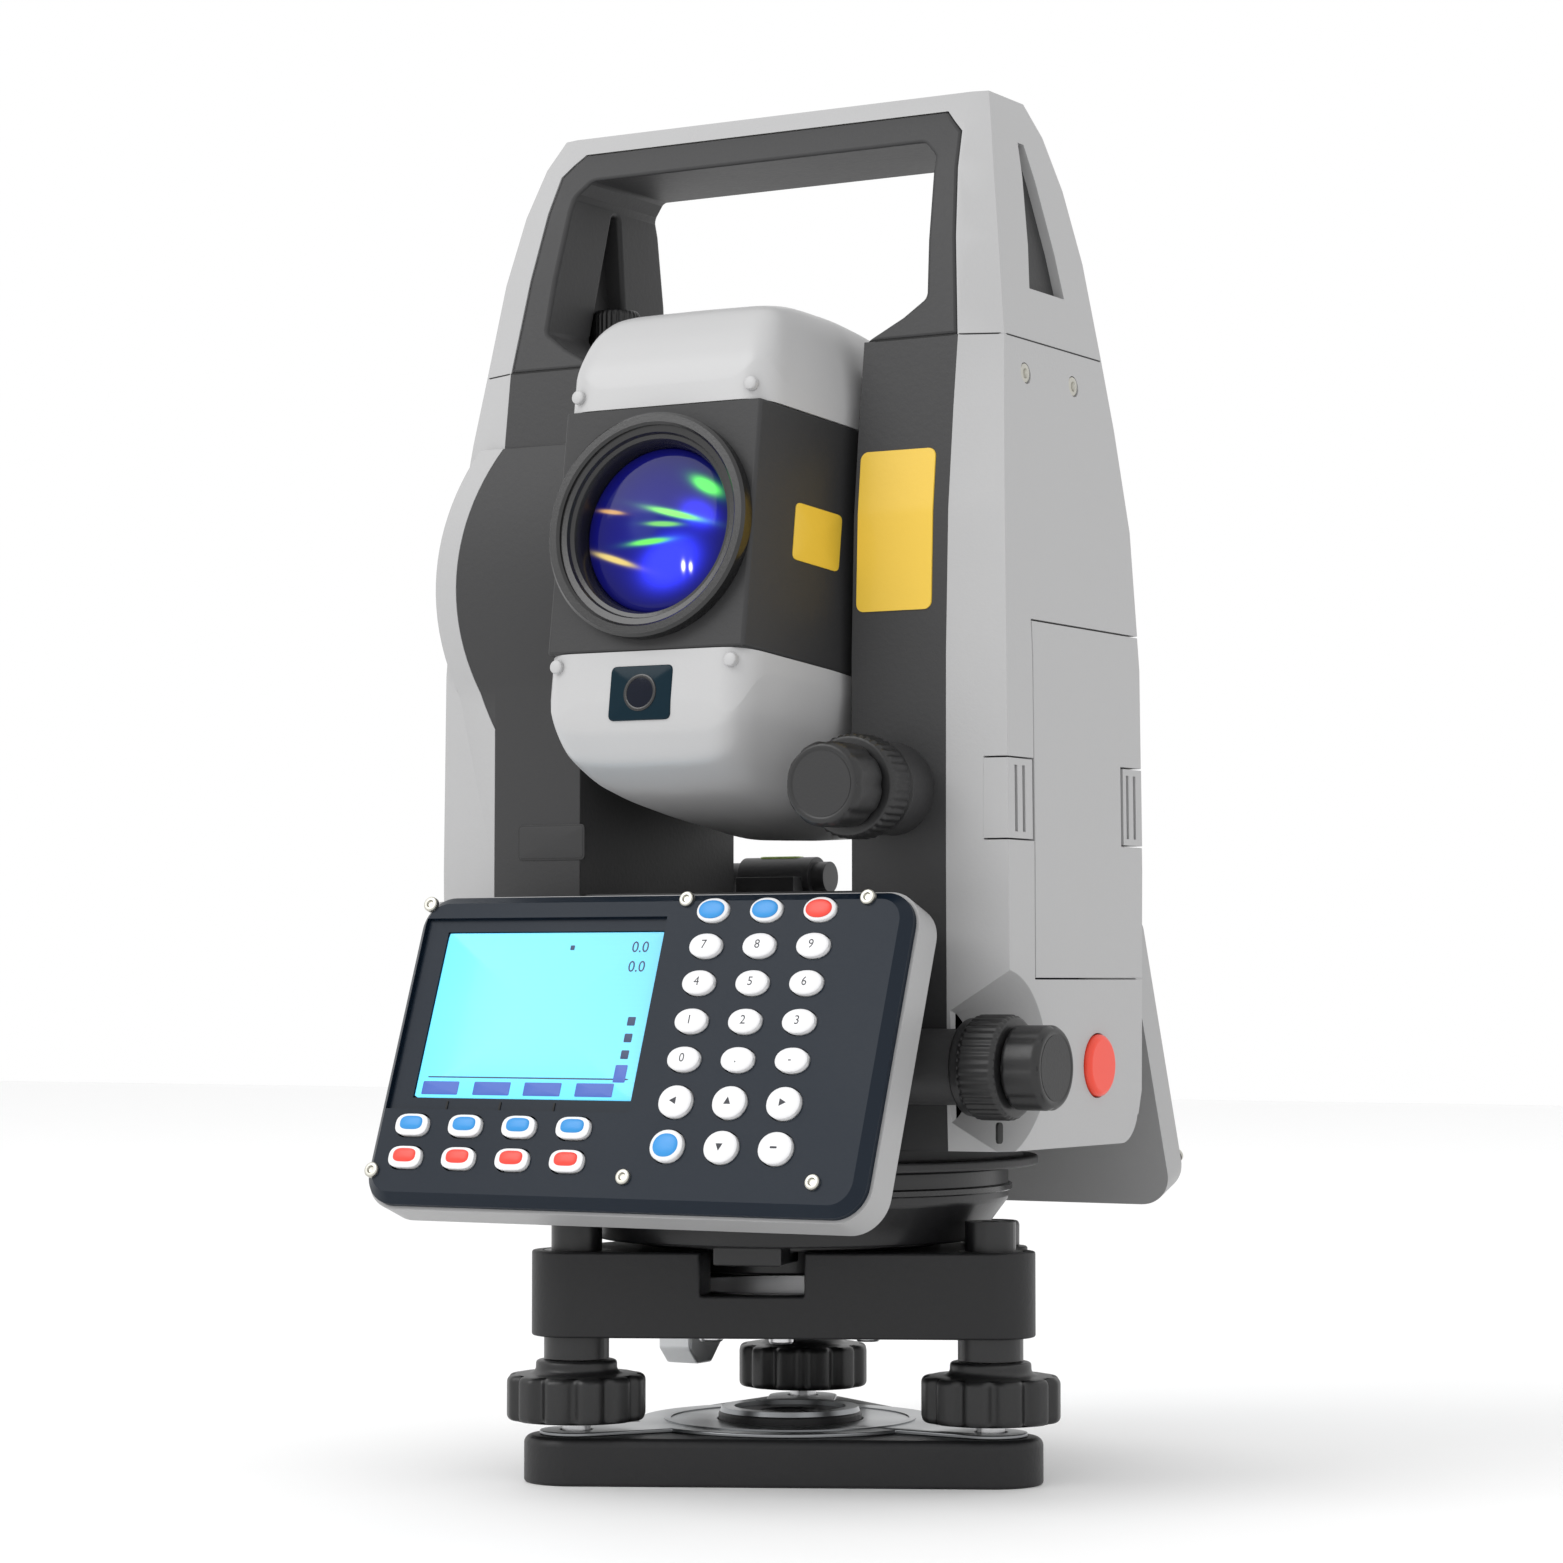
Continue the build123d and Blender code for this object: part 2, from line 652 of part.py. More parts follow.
def panel(name, side):
    """One control panel: shell, face, screen and its keys."""
    place = panel_place(side)
    shell = slab(panel_width, panel_length, panel_corner, -panel_thickness, -face_t)
    inside = (panel_width - 2 * panel_side_wall, panel_length - 2 * panel_side_wall)
    shell = shell - slab(*inside, panel_corner - panel_side_wall, -panel_thickness + panel_wall, 0)
    for x, y in panel_screws:
        shell = shell + disc(panel_screw_r + 0.5, -panel_thickness + 1, -face_t, x, y)
    size = (panel_width - 2 * face_inset, panel_length - 2 * face_inset)
    face = slab(*size, panel_corner - face_inset, -face_t, 0)
    face = chamfer(face.edges().group_by(Axis.Z)[-1], face_bevel)
    recess = Pos(*recess_centre, 0) * Box(*recess_size, 2 * recess_depth)
    hole = Pos(*screen_centre, 0) * Box(*screen_size, 20)
    face = face - recess - hole
    for outline, places in key_groups().values():
        cut = Pos(0, 0, -face_t - 1) * extrude(outline(key_gap), face_t + 2)
        for x, y in places:
            face = face - Pos(x, y, 0) * cut
    for x, y in panel_screws:
        bore = disc(1.1, -face_t - 3, 1, x, y)
        face, shell = face - bore, shell - bore
    screen = Pos(*screen_centre, -4.1) * Box(screen_size[0] - 0.2, screen_size[1] - 0.2, 4.6)
    save(name + "_panel_shell", place * shell)
    save(name + "_panel_face", place * face)
    save(name + "_screen", place * screen)
    return place


def panels():
    """Front and rear panels with their keys. The rear function keys share a node with its arrow keys."""
    for name, side in (("front", -1), ("rear", 1)):
        place = panel(name, side)
        groups = {label: key_solids(*group) for label, group in key_groups().items()}
        if name == "rear":
            groups["arrow"] = groups["arrow"] + groups.pop("function")
        for label, solids in groups.items():
            save(name + "_" + label + "_keys", Compound(children=[place * key for key in solids]))


def cover_screws():
    """Panel screws and the screws that hold the light covers."""
    solids = [panel_place(side) * screw for side in (-1, 1) for screw in screw_solids()]
    for y in cover_screw_y:
        screw = rod_x(cover_screw_r, cover_screw_x, cover_screw_x + 1.4, y, cover_screw_z)
        solids += [screw, mirrored(screw)]
    save("cover_screws", Compound(children=solids))


# ---------------------------------------------------------------- drives and trigger
def drives():
    """Sleeves, clamp collars and tangent knobs of both drives."""
    x, z = vertical_drive
    bore = clamp_sleeve_r + run_gap
    back = -30.5
    boss = rod_y(vertical_boss_r, -vertical_boss_end, back - 3.2, x, z) - rod_y(bore, -99, 0, x, z)
    y, zh = horizontal_drive
    start = standard_inner
    sleeve = rod_x(sleeve_r, start, horizontal_sleeve_end, y, zh) - rod_x(bore, 0, 100, y, zh)
    save("drive_sleeves", Compound(children=[boss, sleeve]))
    gap = move_gap
    inner = drive_shaft_r + run_gap
    ring = rod_y(clamp_r, -vertical_clamp_end, -vertical_boss_end - gap, x, z)
    ring = ring + rod_y(clamp_sleeve_r, -vertical_boss_end - 1, -38, x, z)
    save("vertical_clamp", ring - rod_y(inner, -99, 0, x, z))
    knob = rod_y(knob_r, -vertical_knob_end, -vertical_clamp_end - gap, x, z)
    knob = chamfer(knob.edges().filter_by(GeomType.CIRCLE).group_by(Axis.Y)[0], 0.8)
    save("vertical_tangent", knob + rod_y(drive_shaft_r, -vertical_clamp_end - 1, -36, x, z))
    ring = rod_x(clamp_r, horizontal_sleeve_end + gap, horizontal_clamp_end, y, zh)
    ring = ring + rod_x(clamp_sleeve_r, 55, horizontal_sleeve_end + 1, y, zh)
    save("horizontal_clamp", ring - rod_x(inner, 0, 100, y, zh))
    knob = rod_x(knob_r, horizontal_clamp_end + gap, horizontal_knob_end, y, zh)
    knob = chamfer(knob.edges().filter_by(GeomType.CIRCLE).group_by(Axis.X)[-1], 0.8)
    save("horizontal_tangent", knob + rod_x(drive_shaft_r, 52, horizontal_clamp_end + 1, y, zh))


def trigger_button():
    """Round red trigger in the right cover, with a retaining flange inside."""
    face = body_rows[1][1]
    button = rod_x(trigger_r, face - skin - 1, face + trigger_proud, *trigger_place)
    button = chamfer(button.edges().filter_by(GeomType.CIRCLE).group_by(Axis.X)[-1], 0.9)
    flange = rod_x(trigger_r + 1.4, face - skin - 2.2, face - skin - 3 * move_gap, *trigger_place)
    save("trigger_button", button + flange)


# ---------------------------------------------------------------- battery
def battery():
    """Battery pack whose outer side completes the right cover, with a latch at each end."""
    low, high = battery_bottom + battery_gap, battery_top - battery_gap
    rear = 26.0
    pack = body_form() & block((battery_inner_x, 100), (battery_front, 60), (low, high))
    notch = block((latch_inner_x - 1, 100), (rear - latch_gap, 60), (latch_bottom - 0.4, latch_top + 0.4))
    pack = pack - notch
    middle = (latch_bottom + latch_top) / 2
    pin_x = latch_inner_x + 2.4
    front = block((latch_inner_x, 100), (-60, battery_front - latch_gap), (latch_bottom, latch_top))
    front = (body_form() & front) - body_form(3.4)
    for y in latch_grooves:
        front = front - block((76, 100), (y - 0.7, y + 0.7), (latch_bottom + 1.6, latch_top - 1.6))
    front = front + rod_y(latch_pin_r, battery_front - latch_gap - 3, battery_front + 5, pin_x, middle)
    back = block((latch_inner_x, 100), (rear, 60), (latch_bottom, latch_top))
    back = (body_form() & back) - body_form(3.4)
    for y in latch_grooves:
        back = back - block((76, 100), (-y - 0.7, -y + 0.7), (latch_bottom + 1.6, latch_top - 1.6))
    back = back + rod_y(latch_pin_r, rear - latch_gap - 5, rear + 3, pin_x, middle)
    bores = rod_y(latch_pin_r + run_gap, battery_front - 1, battery_front + 7.5, pin_x, middle)
    bores = bores + rod_y(latch_pin_r + run_gap, rear - latch_gap - 7.5, rear, pin_x, middle)
    save("battery_pack", pack - bores)
    save("battery_latch_front", front)
    save("battery_latch_rear", back)


# ---------------------------------------------------------------- telescope
def aimed(solid):
    """Place a piece of the telescope at its rest tilt about the trunnion."""
    return Pos(0, 0, trunnion_z) * Rot(-rest_tilt, 0, 0) * solid


def plan_outline():
    """Outline of the telescope seen from above."""
    return [
        (-tube_front_half, -tube_front), (tube_front_half, -tube_front), (tube_half, -tube_shoulder),
        (tube_half, tube_shoulder), (tube_back_half, tube_back), (-tube_back_half, tube_back),
        (-tube_half, tube_shoulder), (-tube_half, -tube_shoulder),
    ]


def plan_prism(low, high):
    """The plan outline carried between two heights."""
    return Pos(0, 0, low) * extrude(make_face(Polyline(*plan_outline(), close=True)), high - low)


def telescope_body():
    """Dark mid body with the optical bore and seats for the trunnion stubs."""
    body = plan_prism(-tube_half_height, tube_half_height)
    body = body - rod_y(optic_bore_r, -100, tube_back - 8, 0, 0)
    body = body - rod_y(eyepiece_r - 2, 0, 100, 0, 0)
    stub = rod_x(trunnion_r, 30, 60, 0, 0)
    save("telescope_body", aimed(body - stub - mirrored(stub)))


def telescope_covers():
    """Light top and bottom covers, hollow over the mid body."""
    top_side = [(-66, 30.3), (-64.5, 40), (-57, 54), (-45, 59.5), (-18, crest), (14, crest), (42, 57), (58, 45), (62, 30.3)]
    top_front = [(-36.3, 30.3), (-35.2, 42), (-29, 57), (-20, crest + 0.5), (20, crest + 0.5), (29, 57), (35.2, 42), (36.3, 30.3)]
    top = prism_yz(top_side, -50, 50) & prism_xz(top_front, 80) & plan_prism(30, 70)
    save("telescope_top_cover", aimed(top - block((-24, 24), (-50, 44), (20, 50))))
    low_side = [(-66, -30.3), (-66, -48), (-61, -55.5), (-47, -61), (-15, -64), (16, -63), (44, -56), (60, -44), (62, -30.3)]
    low_front = [(-36.3, -30.3), (-35.5, -42), (-30, -55), (-20, -64.5), (20, -64.5), (30, -55), (35.5, -42), (36.3, -30.3)]
    low = prism_yz(low_side, -50, 50) & prism_xz(low_front, 80) & plan_prism(-70, -30)
    low = low - block((-22, 22), (-52, 44), (-50, -20))
    half = (window_size[0] / 2, window_size[1] / 2)
    low = low - block((-half[0], half[0]), (-80, -tube_front + 2), (window_w - half[1], window_w + half[1]))
    save("telescope_bottom_cover", aimed(low))


def telescope_fittings():
    """Objective, eyepiece end, sight, distance meter window and screws."""
    ring = rod_y(objective_r, -tube_front - objective_proud, -tube_front, 0, 0)
    ring = ring + rod_y(optic_bore_r - 0.05, -tube_front - 1, -tube_front + 12, 0, 0)
    ring = ring - rod_y(lens_r, -100, -tube_front + 8, 0, 0) - rod_y(lens_r - 1.5, -100, 0, 0, 0)
    save("objective_ring", aimed(ring))
    lens = rod_y(lens_r, -tube_front + 3, -tube_front + 8, 0, 0)
    save("objective_lens", aimed(lens))
    half = (window_size[0] / 2 - 0.1, window_size[1] / 2 - 0.1)
    window = block((-half[0], half[0]), (-tube_front - 0.4, -tube_front + 2), (window_w - half[1], window_w + half[1]))
    save("distance_window", aimed(window))
    sight = rod_y(sight_r, -8, 30, 0, crest + sight_r)
    foot = block((-2, 2), (-6, 14), (crest, crest + 1))
    save("sight_tube", aimed(sight + foot))
    screws = [rod_y(2.2, -tube_front - 1.1, -tube_front, x, w) for x in (-23.5, 23.5) for w in (-34.5, 34.5)]
    save("telescope_screws", aimed(Compound(children=screws)))
    focus = rod_y(focus_r, tube_back + move_gap, tube_back + 10, 0, 0) - rod_y(eyepiece_r - 2, 0, 100, 0, 0)
    save("focusing_ring", aimed(focus))
    shank = eyepiece_r - 2 - run_gap
    eyepiece = rod_y(shank, tube_back - 6, tube_back + 12, 0, 0)
    eyepiece = eyepiece + rod_y(eyepiece_r, tube_back + 10 + move_gap, tube_back + 17, 0, 0)
    save("eyepiece", aimed(eyepiece - rod_y(5, 0, 100, 0, 0)))


def trunnions():
    """Stub shafts and the vertical circle."""
    stub = rod_x(trunnion_r, 30, standard_inner + bearing_length + 6, 0, 0)
    collar = rod_x(trunnion_r + 3, tube_half, standard_inner - 0.6, 0, 0)
    stub = stub + collar
    save("trunnion_stubs", aimed(Compound(children=[stub, mirrored(stub)])))
    x = -(standard_inner + bearing_length + 3)
    circle = rod_x(vertical_circle_r, x - circle_t, x, 0, 0) - rod_x(trunnion_r, -100, 100, 0, 0)
    save("vertical_circle", aimed(circle))


# ---------------------------------------------------------------- build
def build():
    """Make every piece and write one STEP file for each."""
    base_plate()
    spring_plate()
    for name, direction in zip(foot_names, foot_directions):
        foot_screw(name, direction)
    foot_screw_bushes()
    tribrach_body()
    clamp_ring()
    lock_lever()
    circular_level()
    base_housing()
    vertical_axis()
    horizontal_circle()
    alidade_base()
    main_board()
    standards()
    bearings()
    plate_level()
    handle()
    thumb_screw()
    panels()
    cover_screws()
    drives()
    trigger_button()
    battery()
    telescope_body()
    telescope_covers()
    telescope_fittings()
    trunnions()
    os.makedirs("parts", exist_ok=True)
    for name, shape in parts.items():
        export_step(shape, "parts/" + name + ".step")


build()
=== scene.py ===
"""Looks of a surveying total station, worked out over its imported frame."""

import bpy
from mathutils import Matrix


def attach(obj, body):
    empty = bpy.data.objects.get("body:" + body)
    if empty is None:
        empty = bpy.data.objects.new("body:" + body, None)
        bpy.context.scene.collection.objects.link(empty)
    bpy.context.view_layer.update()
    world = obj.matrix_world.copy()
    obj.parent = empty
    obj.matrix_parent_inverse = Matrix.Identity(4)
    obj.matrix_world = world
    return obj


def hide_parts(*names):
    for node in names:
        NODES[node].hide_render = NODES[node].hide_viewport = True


bl_info = {
    "name": "Total Station",
    "version": (1, 0, 0),
    "blender": (4, 5, 0),
    "location": "View3D > Sidebar > Total Station",
    "description": "Surveying total station on its tribrach, built round the packed frame",
    "category": "Object",
}

from math import cos, pi, radians, sin

import bmesh
import bpy
import numpy as np
from mathutils import Euler

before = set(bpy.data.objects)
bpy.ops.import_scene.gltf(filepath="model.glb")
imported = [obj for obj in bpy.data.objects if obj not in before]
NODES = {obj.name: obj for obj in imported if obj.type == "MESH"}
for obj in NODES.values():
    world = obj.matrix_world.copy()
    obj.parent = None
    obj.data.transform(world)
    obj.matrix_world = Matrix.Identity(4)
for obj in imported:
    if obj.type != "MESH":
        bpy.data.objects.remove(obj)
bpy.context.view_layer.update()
MM = 0.001
PER_MM = (1000.0, 1000.0, 1000.0)
TILT = radians(8.0)
TRUNNION_Z = 222.0
BODY_HALF = 36.3
BODY_FRONT = -66.0
NOSE_HALF = 27.6
SHOULDER = 32.0
PANEL_LEAN = radians(90 - 20.4)
PANEL_CENTRE = (0.0, -75.6, 106.45)
PAD_COLUMNS = [16.0, 30.7, 45.3]
UPPER_ROW = 34.6
NUMBER_ROWS = [25.5, 16.2, 6.6, -2.9]
ARROW_ROWS = [-13.4, -24.3]
SOFT_COLUMNS = [-57.4, -41.9, -26.4, -10.9]
SOFT_ROWS = [-20.4, -28.6]
MENU_COLUMNS = [-53.0, -38.0, -23.4, -8.6]
PANEL_SCREWS = [(-66.3, 37.0), (8.0, 37.6), (57.5, 37.6), (-66.6, -32.0), (5.5, -32.0), (56.5, -32.0)]
KEY_FOOT = -4.3
SCREEN_TOP = -1.55
FOOT_CIRCLE = 58.6
FOOT_ANGLES = {"right": -3.2, "rear": 116.8, "left": 236.8}
LEVEL_SPOT = (58.0, 56.8)
CAMERA_PLACE = (0.52184, -0.89728, 0.122)
CAMERA_TURN = (radians(92.8), 0.0, radians(30.3))


# ---------------------------------------------------------------- settings
def length_setting(label, text, default):
    """A length in millimetres on the sidebar."""
    return bpy.props.FloatProperty(name=label, description=text, default=default, min=0.0)


def colour_setting(label, text, default):
    """A colour on the sidebar."""
    return bpy.props.FloatVectorProperty(
        name=label, description=text, default=default, size=3, min=0.0, max=1.0, subtype="COLOR")


def count_setting(label, text, default, most):
    """A whole number on the sidebar."""
    return bpy.props.IntProperty(name=label, description=text, default=default, min=4, max=most)


def number_setting(label, text, default, unit="NONE", least=0.0):
    """A plain number on the sidebar."""
    return bpy.props.FloatProperty(name=label, description=text, default=default, min=least, unit=unit)


class TotalStationColours(bpy.types.PropertyGroup):
    cover: colour_setting("Covers", "Light moulded covers", (0.41, 0.41, 0.413))
    casting: colour_setting("Standards", "Dark cast standards and telescope", (0.036, 0.036, 0.037))
    tribrach: colour_setting("Tribrach", "Black painted tribrach and base plate", (0.013, 0.013, 0.014))
    knob: colour_setting("Knobs", "Black knobs", (0.011, 0.011, 0.0115))
    face: colour_setting("Panel face", "Navy panel face", (0.0035, 0.009, 0.018))
    display: colour_setting("Display", "Backlit display", (0.12, 0.60, 0.90))
    white_key: colour_setting("Keys", "White rubber keys", (0.80, 0.80, 0.81))
    blue_key: colour_setting("Blue keys", "Blue key caps", (0.022, 0.27, 0.66))
    red_key: colour_setting("Red keys", "Red key caps", (0.84, 0.055, 0.035))
    label: colour_setting("Labels", "Blank yellow labels", (0.76, 0.50, 0.045))
    trigger: colour_setting("Trigger", "Red trigger button", (0.84, 0.06, 0.03))
    lens: colour_setting("Lens coating", "Blue coating of the objective", (0.003, 0.003, 0.15))


class TotalStationSizes(bpy.types.PropertyGroup):
    edge: length_setting("Casting edge", "Rounding of cast edges, mm", 1.0)
    cover_edge: length_setting("Cover edge", "Rounding of the covers' edges, mm", 1.3)
    panel_edge: length_setting("Panel edge", "Rounding of the panel's edges, mm", 0.7)
    flute_count: count_setting("Foot knob flutes", "Flutes round each foot screw", 12, 40)
    flute_depth: length_setting("Flute depth", "Depth of a foot knob's flutes, mm", 1.7)
    knurl_count: count_setting("Knurls", "Ribs round a clamp collar", 40, 120)
    knurl_depth: length_setting("Knurl depth", "Depth of the clamps' ribs, mm", 0.35)
    label_corner: length_setting("Label corner", "Corner radius of the blank labels, mm", 2.0)
    key_dome: length_setting("Key dome", "Height of a key's crown, mm", 0.7)


class TotalStationStage(bpy.types.PropertyGroup):
    floor: colour_setting("Floor", "Pale floor", (0.93, 0.93, 0.93))
    key_power: number_setting("Key light", "Power of the main soft light", 21.0, "POWER")
    fill_power: number_setting("Fill light", "Power of the side and back lights", 1.0, "POWER")
    sky: number_setting("Surroundings", "Brightness of the pale surroundings", 1.0)
    lens: number_setting("Focal length", "Camera lens, mm", 94.43, "CAMERA", 10.0)


def colours():
    """The colours on the sidebar."""
    return bpy.context.scene.total_station_colours


def sizes():
    """The sizes on the sidebar."""
    return bpy.context.scene.total_station_sizes


# ---------------------------------------------------------------- surfaces
def grid(points, closed=True, low=False, high=False):
    """Rows of points joined by four-sided faces.

    Row i, column j joins row i+1, column j+1. A closed grid joins the last column to the first.
    low and high close the end rows with a fan about the mean of the row.
    """
    points = np.asarray(points, float)
    rows, count = points.shape[:2]
    index = np.arange(rows * count).reshape(rows, count)
    turn = np.roll(index, -1, axis=1)
    a, b = (index, turn) if closed else (index[:, :-1], turn[:, :-1])
    faces = np.stack([a[:-1], b[:-1], b[1:], a[1:]], axis=-1).reshape(-1, 4).tolist()
    flat = points.reshape(-1, 3)
    for wanted, row, order in ((low, 0, -1), (high, rows - 1, 1)):
        if wanted:
            tip = np.full(count, len(flat))
            flat = np.vstack([flat, points[row].mean(axis=0)])
            fan = np.stack([index[row], turn[row], tip], axis=-1)
            faces += fan[:, ::order].tolist()
    return flat, faces


def moved(surface, *places):
    """The same faces with every point passed through placing functions, one after another."""
    points, faces = surface
    for place in places:
        points = place(points)
    return points, faces


def turned(profile, steps=96, ripple=None, closed=False):
    """Surface of revolution about Z: (r cos t, r sin t, h) for each (r, h) of the profile.

    ripple(t, r, h) is taken off the radius, which cuts flutes or knurls. A closed profile makes a ring,
    and an open one is closed by a fan at both ends.
    """
    profile = np.asarray(profile, float)
    if closed:
        profile = np.vstack([profile, profile[:1]])
    t = np.linspace(0, 2 * pi, steps, endpoint=False)[None, :]
    r, h = profile[:, :1], profile[:, 1:]
    radius = r - (ripple(t, r, h) if ripple else 0.0) + 0.0 * t
    points = np.stack([radius * np.cos(t), radius * np.sin(t), h + 0.0 * t], axis=-1)
    return grid(points, low=not closed, high=not closed)


def fluted(count, depth, past, power=1):
    """Ripple that takes depth * (1/2 + 1/2 cos(count t))^power off every radius past a given one."""
    return lambda t, r, h: depth * (0.5 + 0.5 * np.cos(count * t)) ** power * (r > past)


def rounded_profile(corners, size, steps=4):
    """(r, h) outline whose inner corners are replaced by short quadratic arcs of one size."""
    corners = np.asarray(corners, float)
    before, here, after = corners[:-2], corners[1:-1], corners[2:]
    back, on = before - here, after - here
    reach_back = np.minimum(size, 0.45 * np.linalg.norm(back, axis=1))[:, None]
    reach_on = np.minimum(size, 0.45 * np.linalg.norm(on, axis=1))[:, None]
    start = here + back / np.linalg.norm(back, axis=1)[:, None] * reach_back
    end = here + on / np.linalg.norm(on, axis=1)[:, None] * reach_on
    s = np.linspace(0, 1, steps)[None, :, None]
    arcs = (1 - s) ** 2 * start[:, None] + 2 * s * (1 - s) * here[:, None] + s**2 * end[:, None]
    return np.vstack([corners[:1], arcs.reshape(-1, 2), corners[-1:]])


def soft_outline(corners, radius, count=160):
    """Closed outline with quadratic arcs at its corners, evenly spaced along its length."""
    corners = np.asarray(corners, float)
    ring = np.vstack([corners[-1:], corners, corners[:1]])
    line = rounded_profile(ring, radius, 9)[1:-1]
    line = np.vstack([line, line[:1]])
    run = np.concatenate([[0], np.cumsum(np.linalg.norm(np.diff(line, axis=0), axis=1))])
    at = np.linspace(0, run[-1], count, endpoint=False)
    return np.stack([np.interp(at, run, line[:, 0]), np.interp(at, run, line[:, 1])], axis=-1)


def lozenge(half_width, half_length, power, count=48):
    """Superellipse |x/a|^n + |y/b|^n = 1 as an outline of points."""
    t = np.linspace(0, 2 * pi, count, endpoint=False)
    c, s = np.cos(t), np.sin(t)
    shape = np.stack([np.sign(c) * np.abs(c) ** (2 / power), np.sign(s) * np.abs(s) ** (2 / power)], axis=-1)
    return shape * [half_width, half_length]


def layered(outline, layers):
    """An outline carried through layers of (inset, height), each inset taken off its half sizes."""
    outline = np.asarray(outline, float)
    middle = (outline.max(axis=0) + outline.min(axis=0)) / 2
    half = (outline.max(axis=0) - outline.min(axis=0)) / 2
    inset, height = np.asarray(layers, float).T
    scale = 1 - inset[:, None] / half[None, :]
    flat = middle + (outline - middle)[None] * scale[:, None, :]
    z = np.broadcast_to(height[:, None, None], flat.shape[:2] + (1,))
    return grid(np.concatenate([flat, z], axis=-1), low=True, high=True)


def rolled_edge(low, high, radius, steps=5):
    """Layers of a slab with a quarter-circle upper edge: inset r(1 - cos a), height top - r(1 - sin a)."""
    a = np.linspace(0, pi / 2, steps)
    return [(0.0, low)] + list(zip(radius * (1 - np.cos(a)), high - radius * (1 - np.sin(a))))


def crowned(outline, low, high, dome, steps=7):
    """Key cap: straight side, then a quarter ellipse from the edge (k = 1) to the middle (k = 0)."""
    outline = np.asarray(outline, float)
    middle = (outline.max(axis=0) + outline.min(axis=0)) / 2
    k = np.cos(np.linspace(0, pi / 2, steps)[:-1])[:, None, None]
    flat = middle + (outline - middle)[None] * np.concatenate([np.ones((1, 1, 1)), k])
    z = np.concatenate([[low], high - dome + dome * np.sin(np.linspace(0, pi / 2, steps)[:-1])])
    z = np.broadcast_to(z[:, None, None], flat.shape[:2] + (1,))
    return grid(np.concatenate([flat, z], axis=-1), low=True, high=True)


def oblong(a, b):
    """The corners of a rectangle from its half sizes."""
    return [(-a, -b), (a, -b), (a, b), (-a, b)]


def rounded_box(width, length, corner, low, high, edge, centre=(0.0, 0.0)):
    """Slab with rounded corners in plan and a rolled upper edge."""
    outline = soft_outline(oblong(width / 2, length / 2), corner) + np.asarray(centre)
    return layered(outline, rolled_edge(low, high, edge))


# ---------------------------------------------------------------- places
def tilted(points):
    """From the telescope's level frame to its rest tilt: a turn about X, then up to the trunnion."""
    x, y, z = np.asarray(points, float).T
    return np.stack([x, y * cos(TILT) + z * sin(TILT), TRUNNION_Z - y * sin(TILT) + z * cos(TILT)], axis=-1)


def panel_front(points):
    """From the front panel's plane to the instrument: leant back, then out to its centre."""
    x, y, z = np.asarray(points, float).T
    c, s = cos(PANEL_LEAN), sin(PANEL_LEAN)
    return np.stack([x, y * c - z * s, y * s + z * c], axis=-1) + PANEL_CENTRE


def panel_rear(points):
    """The front panel's place turned half round the vertical axis."""
    return panel_front(points) * [-1, -1, 1]


PANELS = {"front": panel_front, "rear": panel_rear}


def along_y(x, z, start):
    """Places a piece turned about Z so that its axis runs towards -Y from a starting y."""
    return lambda p: np.stack([p[:, 0] + x, start - p[:, 2], p[:, 1] + z], axis=-1)


def along_x(y, z, start):
    """Places a piece turned about Z so that its axis runs towards +X from a starting x."""
    return lambda p: np.stack([start + p[:, 2], p[:, 0] + y, p[:, 1] + z], axis=-1)


def towards_rear(points):
    """Places a piece turned about Z so that its axis runs towards +Y."""
    return points[:, [0, 2, 1]]


def shifted(x=0.0, y=0.0, z=0.0):
    """Places a piece by a plain shift."""
    return lambda p: np.asarray(p, float) + [x, y, z]


def mirrored(sign):
    """Places a piece of the +X side on the side of the sign."""
    return lambda p: p * [sign, 1, 1]


def round_axis(radius, degrees):
    """A spot on a circle about the vertical axis."""
    return radius * cos(radians(degrees)), radius * sin(radians(degrees))


# ---------------------------------------------------------------- pieces
def add_object(name, mesh, finish, body, stands_for=()):
    """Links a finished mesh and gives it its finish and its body."""
    item = bpy.data.objects.new(name, mesh)
    bpy.context.collection.objects.link(item)
    mesh.materials.clear()
    mesh.materials.append(FINISHES[finish])
    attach(item, body)
    if stands_for:
        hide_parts(*stands_for)
    return item


def bevelled(item, width, angle=30.0, segments=3):
    """Live bevel of the sharp edges of a piece, in millimetres."""
    bevel = item.modifiers.new("edges", "BEVEL")
    bevel.width = width * MM
    bevel.segments = segments
    bevel.limit_method = "ANGLE"
    bevel.angle_limit = radians(angle)
    bevel.miter_outer = "MITER_ARC"
    bevel.harden_normals = False
    return item


def piece(name, surfaces, finish, body, stands_for=(), smooth=38.0):
    """One object from surfaces given in millimetres, with its faces turned outwards."""
    points, faces, start = [], [], 0
    for flat, polygons in surfaces:
        points.append(np.asarray(flat, float) * MM)
        faces += [[corner + start for corner in polygon] for polygon in polygons]
        start += len(flat)
    mesh = bpy.data.meshes.new(name)
    mesh.from_pydata(np.vstack(points).tolist(), [], faces)
    work = bmesh.new()
    work.from_mesh(mesh)
    bmesh.ops.recalc_face_normals(work, faces=work.faces)
    work.to_mesh(mesh)
    work.free()
    mesh.shade_smooth()
    mesh.set_sharp_from_angle(angle=radians(smooth))
    return add_object(name, mesh, finish, body, stands_for)


